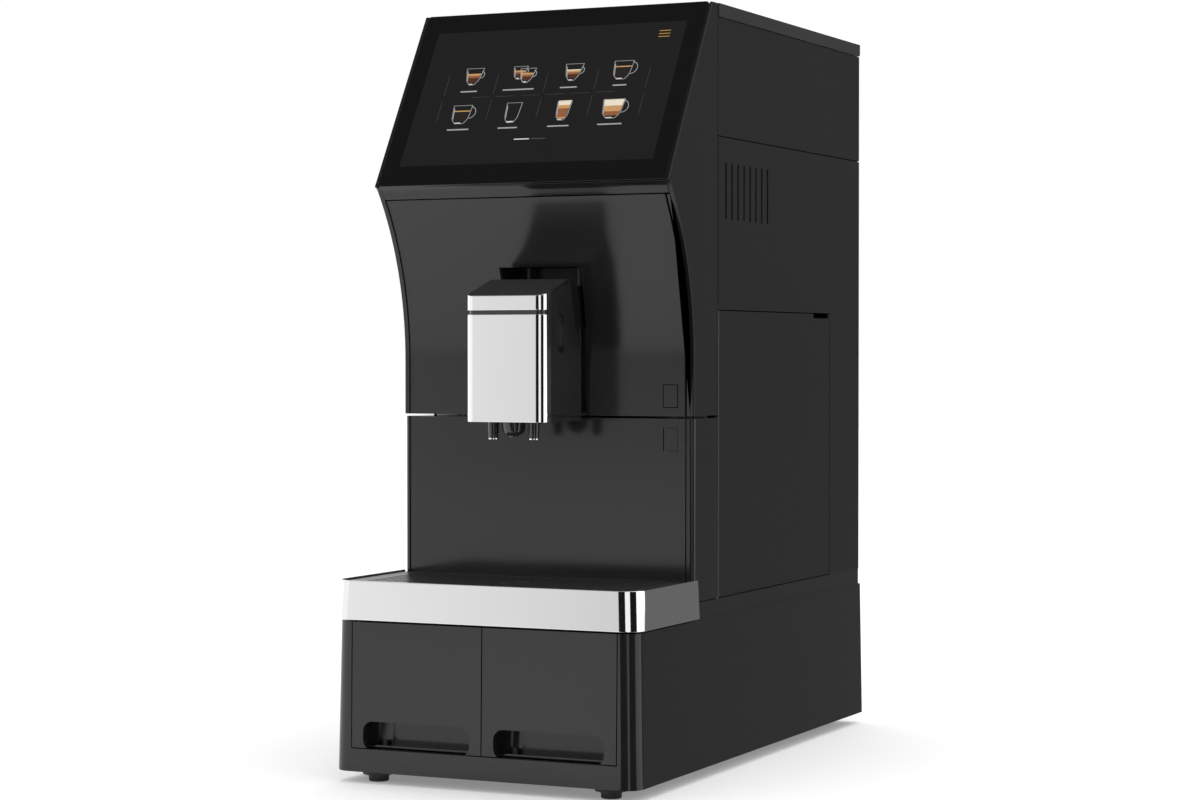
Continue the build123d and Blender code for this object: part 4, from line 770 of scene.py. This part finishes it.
turned_piece("spout_tip_rings", spout_places, spout_ring, finishes["polished_chrome"], "dispenser",
             "polished_chrome")
print("spouts at", [tuple(round(v, 4) for v in place) for place in spout_places])

# %% [markdown]
# The hot water nozzle has flat sides to grip when it is screwed off. Twelve segments give those facets with the
# same turning helper.

# %% Faceted water nozzle
nozzle_low, nozzle_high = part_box("water_nozzle")
nozzle_place = [((nozzle_low.x + nozzle_high.x) / 2, (nozzle_low.y + nozzle_high.y) / 2)]
foot, head = nozzle_low.z / MM, nozzle_high.z / MM
nozzle_profile = [(0, foot + 5), (3.2, foot + 5), (3.2, foot), (4.4, foot), (5.0, foot + 1.6),
                  (9.0, foot + 3.2), (10.6, foot + 5.5), (11.4, foot + 7.0), (12.3, head - 2.5), (12.3, head),
                  (0, head)]
FACETS = 12
turned_piece("faceted_nozzle", nozzle_place, nozzle_profile, finishes["gloss_black_plastic"], "dispenser",
             "inner_black_plastic", FACETS, "water_nozzle")
print("nozzle facets", FACETS)

# %% [markdown]
# Each foot is a stepped plastic flange, screwed under the plinth, with a rubber pad pressed into it. The pad
# has a groove near the floor, where rubber feet carry a lip.

# %% Stepped feet
feet_low, feet_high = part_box("feet")
FLANGE_RADIUS = 18.0 * MM
foot_places = [(x, y) for x in (feet_low.x + FLANGE_RADIUS, feet_high.x - FLANGE_RADIUS)
               for y in (feet_low.y + FLANGE_RADIUS, feet_high.y - FLANGE_RADIUS)]
flange_profile = [(0, 4.6), (10.4, 4.6), (11.0, 5.0), (11.0, 7.2), (16.4, 7.4), (16.8, 7.8), (16.8, 9.2),
                  (17.6, 9.4), (18.0, 9.8), (18.0, 12.0), (0, 12.0)]
ROUND = 48
turned_piece("foot_flanges", foot_places, flange_profile, finishes["inner_black_plastic"], "cabinet",
             "inner_black_plastic", ROUND, "feet")
pad_profile = [(0, 0), (9.6, 0), (10.5, 0.8), (10.5, 1.8), (10.1, 2.1), (10.5, 2.4), (10.5, 4.6), (0, 4.6)]
turned_piece("foot_pads_ribbed", foot_places, pad_profile, finishes["rubber"], "cabinet", "rubber", ROUND,
             "foot_pads")
print("feet", len(foot_places))

# %% [markdown]
# ## Repeated pieces
# What repeats is made by Geometry Nodes: a small tree builds one shape, sets copies of it on points and makes
# them real. A loop of copied objects would give one piece per screw; the tree gives one piece per set, and its
# inputs can be changed in one place. The result becomes a plain mesh that rides with its body.


# %% Node tree helpers
def new_tree(name, inputs):
    """A geometry tree with named inputs; gives the tree, its input node and its output node."""
    tree = bpy.data.node_groups.new(name, "GeometryNodeTree")
    tree.interface.new_socket("Geometry", in_out="INPUT", socket_type="NodeSocketGeometry")
    for label, kind, value in inputs:
        socket = tree.interface.new_socket(label, in_out="INPUT", socket_type=kind)
        socket.default_value = value
    tree.interface.new_socket("Geometry", in_out="OUTPUT", socket_type="NodeSocketGeometry")
    return tree, tree.nodes.new("NodeGroupInput"), tree.nodes.new("NodeGroupOutput")


def joined(tree, source, target):
    """Links one socket to another."""
    tree.links.new(source, target)


def made_real(tree, copies, leave, material):
    """Ends a tree: copies become one mesh with one finish."""
    real = tree.nodes.new("GeometryNodeRealizeInstances")
    paint = tree.nodes.new("GeometryNodeSetMaterial")
    paint.inputs["Material"].default_value = material
    joined(tree, copies, real.inputs["Geometry"])
    joined(tree, real.outputs["Geometry"], paint.inputs["Geometry"])
    joined(tree, paint.outputs["Geometry"], leave.inputs["Geometry"])


def grown(name, points, tree, values, body, slot_name, *replaced):
    """Runs a tree on points in metres and turns the result into a plain piece."""
    mesh = bpy.data.meshes.new(name + "_points")
    mesh.from_pydata([tuple(point) for point in points], [], [])
    carrier = bpy.data.objects.new(name + "_carrier", mesh)
    bpy.context.scene.collection.objects.link(carrier)
    modifier = carrier.modifiers.new(name, "NODES")
    modifier.node_group = tree
    sockets = {item.name: item.identifier for item in tree.interface.items_tree if item.in_out == "INPUT"}
    for label, value in values.items():
        modifier[sockets[label]] = value
    result = evaluated_copy(carrier, name)
    print(name, len(result.polygons), "faces")
    return plain_piece(name, result, body, slot_name, *replaced)


def island_centres(node):
    """The middle of each separate solid of a CAD node."""
    work = bmesh.new()
    work.from_mesh(frame["nodes"][node].data)
    bmesh.ops.remove_doubles(work, verts=work.verts, dist=MERGE)
    seen, centres = set(), []
    for start in work.verts:
        if start in seen:
            continue
        stack, group = [start], []
        seen.add(start)
        while stack:
            vertex = stack.pop()
            group.append(vertex.co.copy())
            for edge in vertex.link_edges:
                other = edge.other_vert(vertex)
                if other not in seen:
                    seen.add(other)
                    stack.append(other)
        low = Vector([min(co[i] for co in group) for i in range(3)])
        high = Vector([max(co[i] for co in group) for i in range(3)])
        centres.append(((low + high) / 2, high - low))
    work.free()
    return centres


screw_centres = island_centres("panel_screws")
print("screws found", len(screw_centres))

# %% [markdown]
# Six screws hold the back panel: low domed heads with a six-sided socket. No two stop at the same angle when
# they are tightened, so each is turned by chance, from a fixed seed.


# %% Back panel screws
CROWN = 0.74


def screw_tree():
    """A low domed head with a six-sided socket, turned at random about its axis."""
    tree, enter, leave = new_tree("socket_screws", (
        ("Head Radius", "NodeSocketFloat", 3.6 * MM), ("Head Height", "NodeSocketFloat", 2.0 * MM),
        ("Socket Radius", "NodeSocketFloat", 1.7 * MM), ("Seed", "NodeSocketInt", 7)))
    head = tree.nodes.new("GeometryNodeMeshCone")
    head.inputs["Vertices"].default_value = 36
    joined(tree, enter.outputs["Head Radius"], head.inputs["Radius Bottom"])
    crown = tree.nodes.new("ShaderNodeMath")
    crown.operation = "MULTIPLY"
    crown.inputs[1].default_value = CROWN
    joined(tree, enter.outputs["Head Radius"], crown.inputs[0])
    joined(tree, crown.outputs[0], head.inputs["Radius Top"])
    joined(tree, enter.outputs["Head Height"], head.inputs["Depth"])
    socket = tree.nodes.new("GeometryNodeMeshCylinder")
    socket.inputs["Vertices"].default_value = 6
    joined(tree, enter.outputs["Socket Radius"], socket.inputs["Radius"])
    joined(tree, enter.outputs["Head Height"], socket.inputs["Depth"])
    lift = tree.nodes.new("GeometryNodeTransform")
    joined(tree, socket.outputs["Mesh"], lift.inputs["Geometry"])
    raise_by = tree.nodes.new("ShaderNodeCombineXYZ")
    joined(tree, enter.outputs["Head Height"], raise_by.inputs["Z"])
    joined(tree, raise_by.outputs[0], lift.inputs["Translation"])
    cut = tree.nodes.new("GeometryNodeMeshBoolean")
    cut.operation = "DIFFERENCE"
    cut.solver = "EXACT"
    joined(tree, head.outputs["Mesh"], cut.inputs["Mesh 1"])
    joined(tree, lift.outputs["Geometry"], cut.inputs["Mesh 2"])
    spin = tree.nodes.new("FunctionNodeRandomValue")
    spin.data_type = "FLOAT"
    full_turn = next(entry for entry in spin.inputs if entry.name == "Max" and entry.type == "VALUE")
    full_turn.default_value = 2 * pi
    joined(tree, enter.outputs["Seed"], spin.inputs["Seed"])
    turn = tree.nodes.new("ShaderNodeCombineXYZ")
    joined(tree, next(o for o in spin.outputs if o.type == "VALUE"), turn.inputs["Y"])
    turn.inputs["X"].default_value = -pi / 2
    copies = tree.nodes.new("GeometryNodeInstanceOnPoints")
    joined(tree, enter.outputs["Geometry"], copies.inputs["Points"])
    joined(tree, cut.outputs["Mesh"], copies.inputs["Instance"])
    joined(tree, turn.outputs[0], copies.inputs["Rotation"])
    made_real(tree, copies.outputs["Instances"], leave, finishes["zinc_steel"])
    return tree


screw_spots = [centre - Vector((0, size.y / 2, 0)) for centre, size in screw_centres]
grown("back_panel_screws", screw_spots, screw_tree(), {"Head Radius": 3.6 * MM, "Seed": 7}, "cabinet",
      "zinc_steel", "panel_screws")

# %% [markdown]
# The eight slots on each side let warm air out. Behind such slots stand slanted blades that keep water and eyes
# out: without them light would fall straight through to the inside.


# %% Blades behind the vent slots
BLADE_TURN = radians(35)


def blade_tree():
    """An upright slanted blade behind each slot, so that no light falls straight in."""
    tree, enter, leave = new_tree("vent_blades", (
        ("Blade Height", "NodeSocketFloat", 64.0 * MM), ("Blade Width", "NodeSocketFloat", 9.0 * MM),
        ("Blade Turn", "NodeSocketFloat", BLADE_TURN)))
    blade = tree.nodes.new("GeometryNodeMeshCube")
    size = tree.nodes.new("ShaderNodeCombineXYZ")
    size.inputs["X"].default_value = 0.8 * MM
    joined(tree, enter.outputs["Blade Width"], size.inputs["Y"])
    joined(tree, enter.outputs["Blade Height"], size.inputs["Z"])
    joined(tree, size.outputs[0], blade.inputs["Size"])
    turn = tree.nodes.new("ShaderNodeCombineXYZ")
    joined(tree, enter.outputs["Blade Turn"], turn.inputs["Z"])
    copies = tree.nodes.new("GeometryNodeInstanceOnPoints")
    joined(tree, enter.outputs["Geometry"], copies.inputs["Points"])
    joined(tree, blade.outputs["Mesh"], copies.inputs["Instance"])
    joined(tree, turn.outputs[0], copies.inputs["Rotation"])
    made_real(tree, copies.outputs["Instances"], leave, finishes["inner_black_plastic"])
    return tree


VENT_COUNT, VENT_PITCH, VENT_START = 8, 17.25, 22.1
VENT_TOP_DROP, VENT_HEIGHT = 152.1, 59.8
VENT_INSET = 6.5
panel_low, panel_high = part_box("left_side_panel")
vent_z = panel_high.z - (VENT_TOP_DROP + VENT_HEIGHT / 2) * MM
blades = blade_tree()
for side, label in ((-1, "left"), (1, "right")):
    x = side * (abs(panel_low.x) - VENT_INSET * MM)
    spots = [(x, panel_low.y + (VENT_START - 1 + i * VENT_PITCH) * MM, vent_z) for i in range(VENT_COUNT)]
    grown(label + "_vent_blades", spots, blades, {"Blade Turn": side * BLADE_TURN}, "cabinet",
          "inner_black_plastic")

# %% [markdown]
# A hose is screwed or pushed onto each fitting at the back, so both carry round ridges. A real thread climbs by
# one pitch per turn; at this size plain rings look the same and stay simple.


# %% Thread ridges on the two hose fittings
def ridge_tree():
    """Round ridges along a fitting."""
    tree, enter, leave = new_tree("thread_ridges", (
        ("Ridge Radius", "NodeSocketFloat", 13.0 * MM), ("Ridge Thickness", "NodeSocketFloat", 0.55 * MM)))
    loop = tree.nodes.new("GeometryNodeCurvePrimitiveCircle")
    joined(tree, enter.outputs["Ridge Radius"], loop.inputs["Radius"])
    loop.inputs["Resolution"].default_value = 48
    section = tree.nodes.new("GeometryNodeCurvePrimitiveCircle")
    section.inputs["Resolution"].default_value = 8
    joined(tree, enter.outputs["Ridge Thickness"], section.inputs["Radius"])
    ring = tree.nodes.new("GeometryNodeCurveToMesh")
    joined(tree, loop.outputs["Curve"], ring.inputs["Curve"])
    joined(tree, section.outputs["Curve"], ring.inputs["Profile Curve"])
    copies = tree.nodes.new("GeometryNodeInstanceOnPoints")
    joined(tree, enter.outputs["Geometry"], copies.inputs["Points"])
    joined(tree, ring.outputs["Mesh"], copies.inputs["Instance"])
    copies.inputs["Rotation"].default_value = (pi / 2, 0, 0)
    made_real(tree, copies.outputs["Instances"], leave, finishes["brass"])
    return tree


ridges = ridge_tree()
RIDGE_COUNT = 9
RIDGE_PITCH = 1.8 * MM
FLANGE = 4.6 * MM
RIDGE_SUNK = 0.05 * MM
for node, label, outer in (("water_inlet_fitting", "inlet_thread", 13.2), ("drain_fitting", "drain_ribs", 9.5)):
    low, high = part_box(node)
    middle = (low + high) / 2
    spots = [(middle.x, low.y + FLANGE + (i + 0.8) * RIDGE_PITCH, middle.z) for i in range(RIDGE_COUNT)]
    sizes = {"Ridge Radius": outer * MM - RIDGE_SUNK, "Ridge Thickness": 0.5 * MM}
    grown(label, spots, ridges, sizes, "cabinet", "brass")
